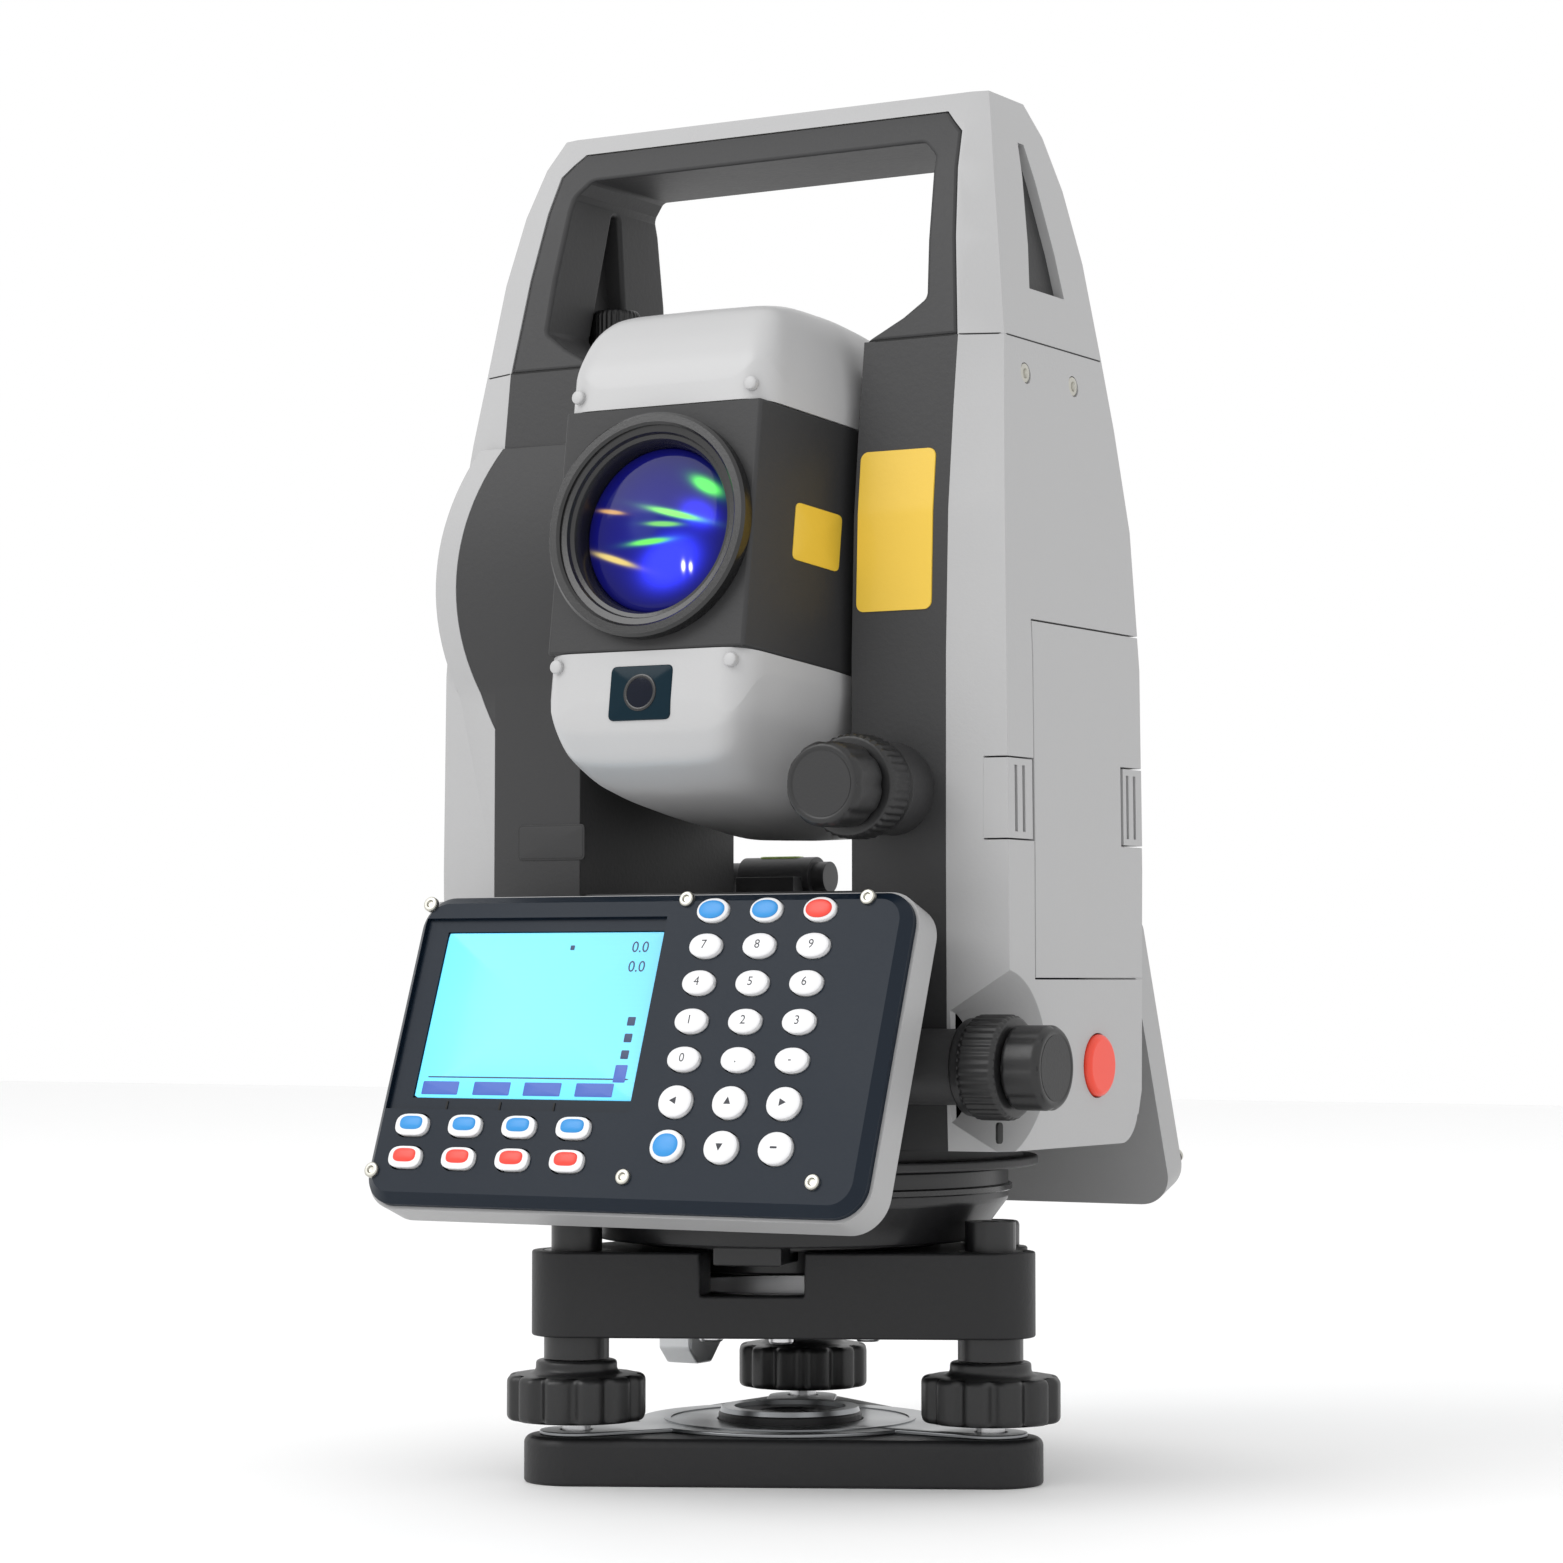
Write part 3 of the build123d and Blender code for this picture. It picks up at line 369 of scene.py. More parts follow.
def softened(node, width, finish, body, angle=28.0, segments=3, flat=0.6):
    """A merged copy of a frame node with its edges rounded, standing for the node."""
    source = NODES[node].data
    corners = np.empty(len(source.vertices) * 3)
    source.vertices.foreach_get("co", corners)
    triangles = np.empty(len(source.loops), dtype=np.int64)
    source.loops.foreach_get("vertex_index", triangles)
    mesh = bpy.data.meshes.new(node + "_finished")
    mesh.from_pydata(corners.reshape(-1, 3).tolist(), [], triangles.reshape(-1, 3).tolist())
    work = bmesh.new()
    work.from_mesh(mesh)
    bmesh.ops.remove_doubles(work, verts=work.verts, dist=1e-6)
    bmesh.ops.dissolve_limit(work, angle_limit=radians(flat), verts=work.verts, edges=work.edges)
    work.to_mesh(mesh)
    work.free()
    mesh.shade_smooth()
    mesh.set_sharp_from_angle(angle=radians(35))
    item = add_object(node + "_finished", mesh, finish, body, (node,))
    if width:
        bevelled(item, width, angle, segments)
    return item


def coated(finish, *nodes):
    """Gives frame nodes that keep their shape a procedural finish."""
    for node in nodes:
        mesh = NODES[node].data
        mesh.materials.clear()
        mesh.materials.append(FINISHES[finish])


def lettering(text, size, centre, height, thickness=0.06):
    """Characters as a thin closed surface, centred on a point of a panel's plane."""
    curve = bpy.data.curves.new("lettering", "FONT")
    curve.body = text
    curve.size = size
    curve.align_x = "CENTER"
    curve.align_y = "CENTER"
    curve.extrude = thickness / 2
    curve.resolution_u = 3
    holder = bpy.data.objects.new("lettering", curve)
    mesh = bpy.data.meshes.new_from_object(holder)
    flat = np.empty(len(mesh.vertices) * 3)
    mesh.vertices.foreach_get("co", flat)
    faces = [list(polygon.vertices) for polygon in mesh.polygons]
    bpy.data.objects.remove(holder)
    bpy.data.curves.remove(curve)
    bpy.data.meshes.remove(mesh)
    return flat.reshape(-1, 3) + [centre[0], centre[1], height + thickness / 2], faces


def arrow(centre, size, degrees, low, high):
    """Small triangle that points one way on a key."""
    angles = np.radians(degrees + np.array([0.0, 125.0, 235.0]))
    outline = np.stack([np.cos(angles), np.sin(angles)], axis=-1) * size + np.asarray(centre)
    rows = np.stack([np.column_stack([outline, np.full(3, h)]) for h in (low, high)])
    return grid(rows, low=True, high=True)


# ---------------------------------------------------------------- finishes
class Wire:
    """A socket of a finish's nodes. Arithmetic on it adds Math nodes."""

    def __init__(self, finish, socket):
        self.finish = finish
        self.socket = socket

    def maths(self, operation, *values):
        """A Math node of one operation, fed in order by wires or numbers."""
        return self.finish.add("ShaderNodeMath", {"operation": operation}, dict(enumerate(values)))

    def __add__(self, other):
        return self.maths("ADD", self, other)

    def __radd__(self, other):
        return self.maths("ADD", other, self)

    def __sub__(self, other):
        return self.maths("SUBTRACT", self, other)

    def __rsub__(self, other):
        return self.maths("SUBTRACT", other, self)

    def __mul__(self, other):
        return self.maths("MULTIPLY", self, other)

    def __rmul__(self, other):
        return self.maths("MULTIPLY", other, self)

    def __truediv__(self, other):
        return self.maths("DIVIDE", self, other)

    def __rtruediv__(self, other):
        return self.maths("DIVIDE", other, self)

    def __pow__(self, other):
        return self.maths("POWER", self, other)

    def below(self, other):
        """One where the value is below another, else zero."""
        return self.maths("LESS_THAN", self, other)


class Finish:
    """A material with one Principled shader and the nodes that vary it over the surface."""

    def __init__(self, name, **fixed):
        self.material = bpy.data.materials.new(name)
        self.material.use_nodes = True
        self.tree = self.material.node_tree
        self.tree.nodes.clear()
        self.shader = self.tree.nodes.new("ShaderNodeBsdfPrincipled")
        out = self.tree.nodes.new("ShaderNodeOutputMaterial")
        self.tree.links.new(self.shader.outputs[0], out.inputs["Surface"])
        for socket, value in fixed.items():
            self.shader.inputs[socket.replace("_", " ")].default_value = value

    def add(self, kind, settings=None, sockets=None, output=0):
        """Adds a node: its settings first, then the values or links of its sockets."""
        node = self.tree.nodes.new(kind)
        for key, value in (settings or {}).items():
            setattr(node, key, value)
        for key, value in (sockets or {}).items():
            if isinstance(value, Wire):
                self.tree.links.new(value.socket, node.inputs[key])
            else:
                node.inputs[key].default_value = value
        return Wire(self, node.outputs[output])

    def drive(self, **sockets):
        """Feeds the shader's sockets from wires."""
        for key, wire in sockets.items():
            self.tree.links.new(wire.socket, self.shader.inputs[key.replace("_", " ")])
        return self

    def place(self, scale=(1.0, 1.0, 1.0), turn=(0.0, 0.0, 0.0), shift=(0.0, 0.0, 0.0)):
        """Object coordinates, scaled, turned and shifted."""
        where = self.add("ShaderNodeTexCoord", output="Object")
        sockets = {"Vector": where, "Location": shift, "Rotation": turn, "Scale": scale}
        return self.add("ShaderNodeMapping", {"vector_type": "POINT"}, sockets)

    def axes(self, place):
        """The three parts of a place."""
        first = self.add("ShaderNodeSeparateXYZ", {}, {0: place})
        return [Wire(self, socket) for socket in first.socket.node.outputs]

    def noise(self, place, scale, detail=2.0, roughness=0.5):
        """Soft random pattern between 0 and 1."""
        sockets = {"Vector": place, "Scale": scale, "Detail": detail, "Roughness": roughness}
        return self.add("ShaderNodeTexNoise", {}, sockets)

    def blend(self, factor, first, second):
        """Colour between two others."""
        settings = {"data_type": "RGBA", "blend_type": "MIX", "clamp_factor": True}
        return self.add("ShaderNodeMix", settings, {0: factor, 6: self.rgba(first), 7: self.rgba(second)}, 2)

    def rgba(self, colour):
        """A wire as it is, or a colour with full alpha."""
        return colour if isinstance(colour, Wire) else tuple(colour[:3]) + (1.0,)

    def bump(self, height, strength, distance=0.0004):
        """Small relief from a height."""
        return self.add("ShaderNodeBump", {}, {"Height": height, "Strength": strength, "Distance": distance})


def shade(colour, factor):
    """A colour made lighter or darker, kept below one."""
    return tuple(min(1.0, channel * factor) for channel in colour)


def grained(name, colour, rough, grain=900.0, relief=0.12, spread=0.07, wander=0.08, **fixed):
    """Moulded or painted finish: faint cloudy tone, fine speckle, uneven gloss and a fine grained relief."""
    made = Finish(name, **fixed)
    at = made.place()
    cloud = made.noise(at, 26.0, 3.0)
    speck = made.noise(at, grain, 2.0, 0.6)
    tone = made.blend(cloud * 0.7 + speck * 0.3, shade(colour, 1 - spread), shade(colour, 1 + spread))
    gloss = (cloud - 0.5) * wander + (speck - 0.5) * wander + rough
    return made.drive(Base_Color=tone, Roughness=gloss, Normal=made.bump(speck, relief)).material


def machined(name, colour, rough, stretch=(60.0, 60.0, 2600.0), relief=0.12, turn=(0.0, 0.0, 0.0), **fixed):
    """Turned metal: fine lines round the axis as noise drawn out across it, with faint stains."""
    made = Finish(name, Metallic=1.0, **fixed)
    lines = made.noise(made.place(stretch, turn), 1.0, 2.0)
    stain = made.noise(made.place(), 90.0, 3.0)
    tone = made.blend(lines * 0.5 + stain * 0.5, shade(colour, 0.86), shade(colour, 1.12))
    gloss = lines * 0.14 + stain * 0.08 + rough
    return made.drive(Base_Color=tone, Roughness=gloss, Normal=made.bump(lines, relief, 0.0001)).material


def speckled_board(name):
    """Green solder mask with copper pads."""
    made = Finish(name, Specular_IOR_Level=0.5)
    at = made.place()
    pads = made.add("ShaderNodeTexVoronoi", {"feature": "F1"}, {"Vector": at, "Scale": 260.0})
    copper = pads.below(0.22)
    mask = made.blend(made.noise(at, 60.0), (0.012, 0.10, 0.04), (0.02, 0.16, 0.06))
    tone = made.blend(copper, mask, (0.65, 0.42, 0.16))
    gloss = 0.5 - copper * 0.2 + made.noise(at, 500.0) * 0.06
    return made.drive(Base_Color=tone, Metallic=copper, Roughness=gloss).material


def painted_glint(u, v, centre, size, turn):
    """Soft elliptical painted glint 1 / (1 + q^3), with q the squared distance from its middle in half
    widths.
    """
    c, s = cos(radians(turn)), sin(radians(turn))
    du, dv = u - centre[0], v - centre[1]
    along = (du * c + dv * s) / size[0]
    across = (dv * c - du * s) / size[1]
    return 1.0 / (1.0 + (along * along + across * across) ** 3.0)


def lens_with_painted_reflections(name, colour):
    """Blue coated glass with painted light: painted shade darker towards the rim, a painted bright reflection
    low on one side, painted green and amber glints and small white painted highlights, all made to glow
    faintly.
    """
    # Emission makes the lens, with its painted reflections and glints, glow though it is no lamp.
    made = Finish(name, Roughness=0.06, IOR=1.5, Specular_IOR_Level=0.14, Emission_Strength=0.5)
    x, y, z = made.axes(made.place(scale=PER_MM))
    u, v = x, (z - TRUNNION_Z) * cos(TILT) + y * sin(TILT)
    ring = (u * u + v * v) / 420.0
    haze = made.noise(made.place(), 120.0, 2.0)
    # Painted shade: the lens colour is blended towards dark navy towards its rim, with a little noise.
    lens_tone_with_painted_light = made.blend(ring * 0.75 + haze * 0.2, shade(colour, 1.0), (0.003, 0.003, 0.045))
    # Painted reflections and highlights: each soft spot blends the lens colour towards its painted light
    # colour.
    for centre, size, turn, painted_glint_colour in (
        ((4.5, -8.5), (8.0, 6.0), 20.0, (0.03, 0.04, 0.95)),
        ((11.5, 3.0), (5.0, 3.2), -25.0, (0.02, 0.02, 0.70)),
        ((-3.5, 1.5), (4.2, 4.6), 0.0, (0.015, 0.02, 0.16)),
        ((13.0, 10.0), (4.2, 1.5), -28.0, (0.10, 0.75, 0.12)),
        ((5.0, 3.4), (7.2, 0.75), -14.0, (0.20, 0.75, 0.15)),
        ((2.0, 1.0), (4.4, 0.6), -4.0, (0.14, 0.45, 0.12)),
        ((-1.5, -3.2), (5.2, 0.7), 3.0, (0.12, 0.62, 0.10)),
        ((-11.5, -7.0), (6.2, 0.7), -18.0, (0.55, 0.42, 0.14)),
        ((-13.5, 5.0), (3.6, 0.5), -10.0, (0.45, 0.25, 0.10)),
        ((8.4, -9.6), (0.5, 1.3), 5.0, (0.9, 0.9, 1.0)),
        ((10.4, -9.9), (0.45, 1.1), 5.0, (0.9, 0.9, 1.0)),
    ):
        lens_tone_with_painted_light = made.blend(painted_glint(u, v, centre, size, turn), lens_tone_with_painted_light, painted_glint_colour)
    return made.drive(Base_Color=lens_tone_with_painted_light, Emission_Color=lens_tone_with_painted_light).material


def display_finish(name, colour):
    """Backlit liquid crystal: paler towards one lower corner, with a faint dot grid."""
    made = Finish(name, Specular_IOR_Level=0.4, Coat_Weight=0.1, Coat_Roughness=0.05, Emission_Strength=0.42)
    at = made.place(scale=PER_MM)
    x, _, z = made.axes(at)
    fall = (x + z - 60.0) / 90.0 + made.noise(made.place(), 40.0) * 0.15
    sockets = {"Vector": at, "Scale": 2.2, "Randomness": 0.0}
    dots = made.add("ShaderNodeTexVoronoi", {"feature": "F1"}, sockets)
    tone = made.blend(fall, shade(colour, 1.12), shade(colour, 0.72))
    tone = made.blend(dots * 0.10, tone, shade(colour, 0.5))
    return made.drive(Base_Color=tone, Emission_Color=tone, Roughness=dots * 0.05 + 0.16).material


def clear_disc(name):
    """Encoder glass with a faint uneven tint."""
    made = Finish(name, Roughness=0.08, Coat_Weight=0.5)
    lines = made.noise(made.place(), 700.0)
    tone = made.blend(lines, (0.40, 0.50, 0.48), (0.62, 0.72, 0.70))
    return made.drive(Base_Color=tone, Roughness=lines * 0.08 + 0.06).material


FINISHES = {}


def make_finishes():
    """All finishes, by a plain name."""
    c = colours()
    light, dark, black, knob = c.cover, c.casting, c.tribrach, c.knob
    FINISHES.update(
        cover=grained("light_cover_moulding", light, 0.50, 1100.0, 0.10, 0.03),
        cover_smooth=grained("light_cover_satin", shade(light, 1.12), 0.36, 1500.0, 0.05, 0.03),
        casting=grained("grey_cast_paint", dark, 0.52, 800.0, 0.16, 0.10, Specular_IOR_Level=0.35),
        telescope=grained(
            "grey_telescope_paint", shade(dark, 0.92), 0.50, 900.0, 0.12, 0.08, Specular_IOR_Level=0.35),
        tribrach=grained("black_cast_paint", black, 0.46, 700.0, 0.20, 0.12, Specular_IOR_Level=0.35),
        housing=grained("black_satin_housing", shade(black, 0.9), 0.34, 900.0, 0.08, 0.10),
        knob=grained("black_knob_rubber", knob, 0.40, 1200.0, 0.10, 0.10),
        knob_face=grained("black_knob_face", shade(knob, 1.5), 0.52, 1200.0, 0.12, 0.10),
        ring=grained(
            "black_anodised_ring", shade(knob, 0.8), 0.24, 1600.0, 0.04, 0.10, Specular_IOR_Level=0.6),
        face=grained("navy_panel_film", c.face, 0.42, 1400.0, 0.04, 0.10, Specular_IOR_Level=0.22),
        rim=grained("panel_shell_moulding", shade(light, 0.88), 0.40, 1100.0, 0.08, 0.03),
        white_key=grained("white_key_rubber", c.white_key, 0.38, 1300.0, 0.05, 0.02),
        blue_key=grained("blue_key_rubber", c.blue_key, 0.36, 1300.0, 0.05, 0.06),
        red_key=grained("red_key_rubber", c.red_key, 0.36, 1300.0, 0.05, 0.04),
        ink=grained("dark_key_ink", (0.02, 0.022, 0.03), 0.5, 1300.0, 0.02, 0.10),
        screen_ink=grained("display_digits", (0.008, 0.03, 0.10), 0.4, 1300.0, 0.02, 0.10),
        menu=grained("display_menu_box", (0.03, 0.10, 0.46), 0.35, 1300.0, 0.02, 0.10),
        label=grained("yellow_label_vinyl", c.label, 0.34, 900.0, 0.05, 0.04, Coat_Weight=0.15),
        trigger=grained("red_trigger_moulding", c.trigger, 0.34, 1100.0, 0.05, 0.04),
        steel=machined("turned_steel", (0.70, 0.70, 0.71), 0.20),
        bright=machined("bright_screw_steel", (0.52, 0.51, 0.46), 0.30, (400.0, 400.0, 400.0)),
        lever=machined("satin_cast_lever", (0.56, 0.57, 0.58), 0.36, (500.0, 500.0, 500.0), 0.2),
        plate=machined("spring_plate_steel", (0.30, 0.31, 0.32), 0.20, (60.0, 60.0, 60.0), 0.0),
        # Flat black for real marks, rings and seams, and for painted shade in the battery gap and the drain
        # slot.
        slot=grained("black_marks_and_painted_gap_shade", (0.006, 0.006, 0.006), 0.7, 900.0, 0.05, 0.2),
        window=grained(
            "dark_teal_window", (0.003, 0.016, 0.026), 0.14, 900.0, 0.01, 0.15, Specular_IOR_Level=0.12),
        window_lens=grained(
            "window_lens_glass", (0.002, 0.004, 0.012), 0.10, 900.0, 0.01, 0.2, Specular_IOR_Level=0.2),
        level=grained("level_housing_paint", (0.05, 0.05, 0.052), 0.42, 900.0, 0.10, 0.10),
        vial=grained("level_vial_glass", (0.45, 0.62, 0.16), 0.08, 300.0, 0.01, 0.12, Coat_Weight=1.0),
        disc=clear_disc("encoder_glass"),
        board=speckled_board("circuit_board"),
        # The lens finish carries painted reflections, painted highlights and painted rim shade, and glows.
        lens=lens_with_painted_reflections("blue_lens_with_painted_light", c.lens),
        display=display_finish("backlit_display", c.display),
    )


# ---------------------------------------------------------------- stage
class TOTALSTATION_OT_stage(bpy.types.Operator):
    """Pale floor, soft lights and the camera"""

    bl_idname = "totalstation.stage"
    bl_label = "Stage"

    def execute(self, context):
        settings = context.scene.total_station_stage
        make_finishes()
        floor_finish = grained("pale_floor", settings.floor, 0.75, 300.0, 0.02, 0.01)
        half = 3000.0
        corners = [[(x, y, 0.0) for x in (-half, half)] for y in (-half, half)]
        flat, faces = grid(corners, closed=False)
        mesh = bpy.data.meshes.new("floor")
        mesh.from_pydata((flat * MM).tolist(), [], faces)
        mesh.materials.append(floor_finish)
        floor = bpy.data.objects.new("floor", mesh)
        context.collection.objects.link(floor)
        self.light("key_light", (-1.0, -1.6, 1.7), 1.4, settings.key_power)
        self.light("fill_light", (1.9, -0.7, 0.9), 1.2, settings.fill_power)
        self.light("back_light", (-0.4, 1.7, 1.5), 1.2, settings.fill_power)
        world = bpy.data.worlds.new("pale_surroundings")
        world.use_nodes = True
        pale = world.node_tree.nodes["Background"].inputs
        pale["Color"].default_value = (1.0, 1.0, 1.0, 1.0)
        pale["Strength"].default_value = settings.sky
        context.scene.world = world
        context.scene.view_settings.view_transform = "Standard"
        lens = bpy.data.cameras.new("camera")
        lens.lens = settings.lens
        lens.sensor_width = 36.0
        lens.clip_start = 0.01
        camera = bpy.data.objects.new("camera", lens)
        camera.location = CAMERA_PLACE
        camera.rotation_euler = CAMERA_TURN
        context.collection.objects.link(camera)
        context.scene.camera = camera
        return {"FINISHED"}

    def light(self, name, place, size, power):
        """A square area light that faces the middle of the instrument."""
        lamp = bpy.data.lights.new(name, "AREA")
        lamp.shape = "SQUARE"
        lamp.size = size
        lamp.energy = power
        item = bpy.data.objects.new(name, lamp)
        item.location = place
        aim = np.array([0.0, 0.0, 0.17]) - np.array(place)
        yaw = np.arctan2(aim[0], -aim[1])
        pitch = np.arctan2(np.hypot(aim[0], aim[1]), -aim[2])
        item.rotation_euler = Euler((pitch, 0.0, pi + yaw))
        bpy.context.collection.objects.link(item)


# ---------------------------------------------------------------- tribrach
class TOTALSTATION_OT_tribrach(bpy.types.Operator):
    """Base plate, spring plate, tribrach casting, lock lever and round level"""

    bl_idname = "totalstation.tribrach"
    bl_label = "Tribrach"

    def execute(self, context):
        softened("base_plate", 1.4, "tribrach", "tribrach")
        softened("tribrach_body", 1.2, "tribrach", "tribrach")
        softened("spring_plate", 0.25, "plate", "tribrach")
        softened("lock_lever", 0.7, "lever", "lock_lever")
        coated("housing", "foot_screw_bushes")
        coated("steel", "clamp_ring")
        for name, degrees in FOOT_ANGLES.items():
            place = shifted(*round_axis(FOOT_CIRCLE, degrees))
            cap = turned(rounded_profile([(5.9, 56.0), (6.2, 62.6), (5.4, 63.55), (0.01, 63.58)], 0.8), 64)
            mark = turned([(2.2, 63.4), (2.2, 63.6), (1.6, 63.62), (0.01, 63.62)], 32)
            piece("bush_cap_" + name, [moved(cap, place)], "knob_face", "tribrach")
            piece("bush_cap_mark_" + name, [moved(mark, place)], "slot", "tribrach")
        self.level()
        self.plate_rings()
        self.underside_screws()
        return {"FINISHED"}

    def level(self):
        """Level housing as a turned cup with a rolled lip, and a domed vial with its bubble ring."""
        place = shifted(*round_axis(*LEVEL_SPOT))
        cup = [(0.01, 54.1), (7.4, 54.1), (7.45, 59.6), (7.0, 60.5), (6.2, 60.55), (5.9, 59.7), (5.9, 58.6)]
        cup = turned(rounded_profile(cup + [(0.01, 58.6)], 0.4), 72)
        dome = [(5.85, 58.7)] + [(5.85 * cos(a), 59.0 + 0.9 * sin(a)) for a in np.linspace(0.0, 1.5, 8)]
        ring = turned([(2.1, 59.7), (2.5, 59.7), (2.5, 59.95), (2.1, 59.95)], 40, closed=True)
        for name, shape, finish, stands_for in (
            ("cup", cup, "level", ("circular_level",)), ("vial", turned(dome, 48), "vial", ()),
            ("ring", ring, "slot", ()),
        ):
            shape = moved(shape, place)
            piece("circular_level_" + name, [shape], finish, "tribrach", stands_for)

    def plate_rings(self):
        """Low turned rings on the spring plate about the tripod thread."""
        outer = turned([(30.0, 12.5), (31.6, 12.5), (31.6, 12.8), (30.0, 12.8)], 96, closed=True)
        inner = turned([(14.0, 14.4), (17.6, 14.4), (17.2, 15.6), (14.0, 15.6)], 96, closed=True)
        piece("spring_plate_rings", [outer, inner], "plate", "tribrach")

    def underside_screws(self):
        """Screws under the casting: shallow heads with a small dome."""
        head = [(0.01, 33.6), (2.6, 33.7), (3.0, 34.2), (3.0, 35.8), (0.01, 35.8)]
        spots = [round_axis(30.0, degrees) for degrees in (-100.0, -64.0, -20.0, 20.0, 100.0, 160.0)]
        surfaces = [moved(turned(head, 32), shifted(x, y)) for x, y in spots]
        piece("tribrach_screws", surfaces, "steel", "tribrach")


class TOTALSTATION_OT_foot_screws(bpy.types.Operator):
    """Three foot screws with fluted knobs"""

    bl_idname = "totalstation.foot_screws"
    bl_label = "Foot screws"

    def execute(self, context):
        flutes = fluted(sizes().flute_count, sizes().flute_depth, 15.0, 3)
        knob = [(0.01, 14.85), (14.2, 14.85), (16.4, 15.1), (17.15, 16.0), (17.15, 25.0), (16.4, 26.0)]
        knob += [(14.2, 26.25), (11.4, 26.3), (10.6, 26.7), (9.95, 27.4), (9.95, 29.2), (9.2, 29.65)]
        knob.append((0.01, 29.68))
        neck = [(0.01, 5.9), (3.6, 6.1), (4.75, 8.2), (4.6, 9.9), (3.5, 10.8), (3.45, 14.9), (0.01, 14.95)]
        stem = [(0.01, 29.6), (3.95, 29.6), (3.95, 60.4), (0.01, 60.5)]
        for name, degrees in FOOT_ANGLES.items():
            body = "foot_screw_" + name
            place = shifted(*round_axis(FOOT_CIRCLE, degrees))
            grip = turned(rounded_profile(knob, 0.7), 240, flutes)
            piece(body + "_knob", [moved(grip, place)], "knob", body, (body,))
            shafts = [moved(turned(profile, 48), place) for profile in (neck, stem)]
            piece(body + "_ball", shafts, "steel", body)
        return {"FINISHED"}


class TOTALSTATION_OT_base(bpy.types.Operator):
    """Fixed housing, turning flange, yoke and axis"""

    bl_idname = "totalstation.base"
    bl_label = "Instrument base"

    def execute(self, context):
        softened("base_housing", 0.6, "housing", "tribrach")
        softened("alidade_base", 0.8, "casting", "alidade")
        coated("steel", "vertical_axis", "trunnion_bearings")
        coated("disc", "horizontal_circle")
        coated("board", "main_board")
        step = [(55.2, 70.0), (56.0, 70.4), (56.0, 71.6), (55.2, 72.0), (54.0, 72.0), (54.0, 70.0)]
        piece("housing_band", [turned(step, 128, closed=True)], "ring", "tribrach")
        self.tube_level()
        return {"FINISHED"}

    def tube_level(self):
        """Plate level: steel end nuts on its tube, and a green vial showing through its top."""
        place = along_x(56.0, 150.0, -50.0)
        nuts = [(0.01, 0.05), (3.6, 0.05), (4.15, 0.6), (4.15, 4.2), (0.01, 4.2)]
        far = [(r, 30.0 - h) for r, h in reversed(nuts)]
        softened("plate_level", 0.3, "level", "alidade")
        ends = [moved(turned(profile, 48), place) for profile in (nuts, far)]
        piece("plate_level_nuts", ends, "steel", "alidade")
        vial = moved(rounded_box(13.0, 4.0, 1.9, 4.6, 5.75, 0.5), shifted(-35.0, 56.0, 150.0))
        piece("plate_level_vial", [vial], "vial", "alidade")


# ---------------------------------------------------------------- standards and handle
class TOTALSTATION_OT_standards(bpy.types.Operator):
    """Both standards, their light covers and the battery"""

    bl_idname = "totalstation.standards"
    bl_label = "Standards and covers"

    def execute(self, context):
        s = sizes()
        for node in ("right_standard", "left_standard"):
            softened(node, s.edge * 0.8, "casting", "alidade", angle=24)
        softened("left_cover", s.cover_edge * 0.5, "cover", "alidade", angle=24)
        softened("right_cover", s.cover_edge * 0.4, "cover", "alidade", angle=24)
        softened("battery_pack", s.cover_edge * 0.4, "cover", "battery", angle=24)
        for end in ("front", "rear"):
            softened("battery_latch_" + end, 0.35, "cover", "latch_" + end)
        softened("trigger_button", 0.4, "trigger", "trigger")
        self.battery_nest()
        self.nameplate()
        return {"FINISHED"}

    def battery_nest(self):
        """Black sheet behind the battery's gap as painted shadow, seen as the door's fine outline, and a
        black patch as painted shade in a drain slot of the cover.
        """
        # Painted shadow: a black sheet at the back of the gap round the battery door.
        painted_shadow_sheet = rounded_box(47.0, 84.0, 2.0, -1.2, 0.0, 0.3)
        painted_shadow_sheet = moved(painted_shadow_sheet, along_x(1.0, 165.7, 76.4))
        piece("battery_gap_shadow", [painted_shadow_sheet], "slot", "alidade")
        # Painted shade: a flat black patch stands for the inside of the drain slot.
        painted_slot_shade = moved(rounded_box(2.6, 5.0, 1.25, -0.6, 0.06, 0.05), along_x(-39.0, 86.6, 79.75))
        piece("cover_drain_slot_painted_shade", [painted_slot_shade], "slot", "alidade")

    def nameplate(self):
        """Blank outlined nameplate low on the left standard."""
        plate = rounded_box(19.0, 8.0, 0.8, -0.3, 0.22, 0.15)
        place = along_y(-47.5, 157.0, -37.55)
        rim = rounded_box(20.0, 9.0, 1.2, -0.3, 0.12, 0.1)
        piece("nameplate_recess", [moved(rim, place)], "knob", "alidade")
        piece("nameplate_blank", [moved(plate, place)], "telescope", "alidade")


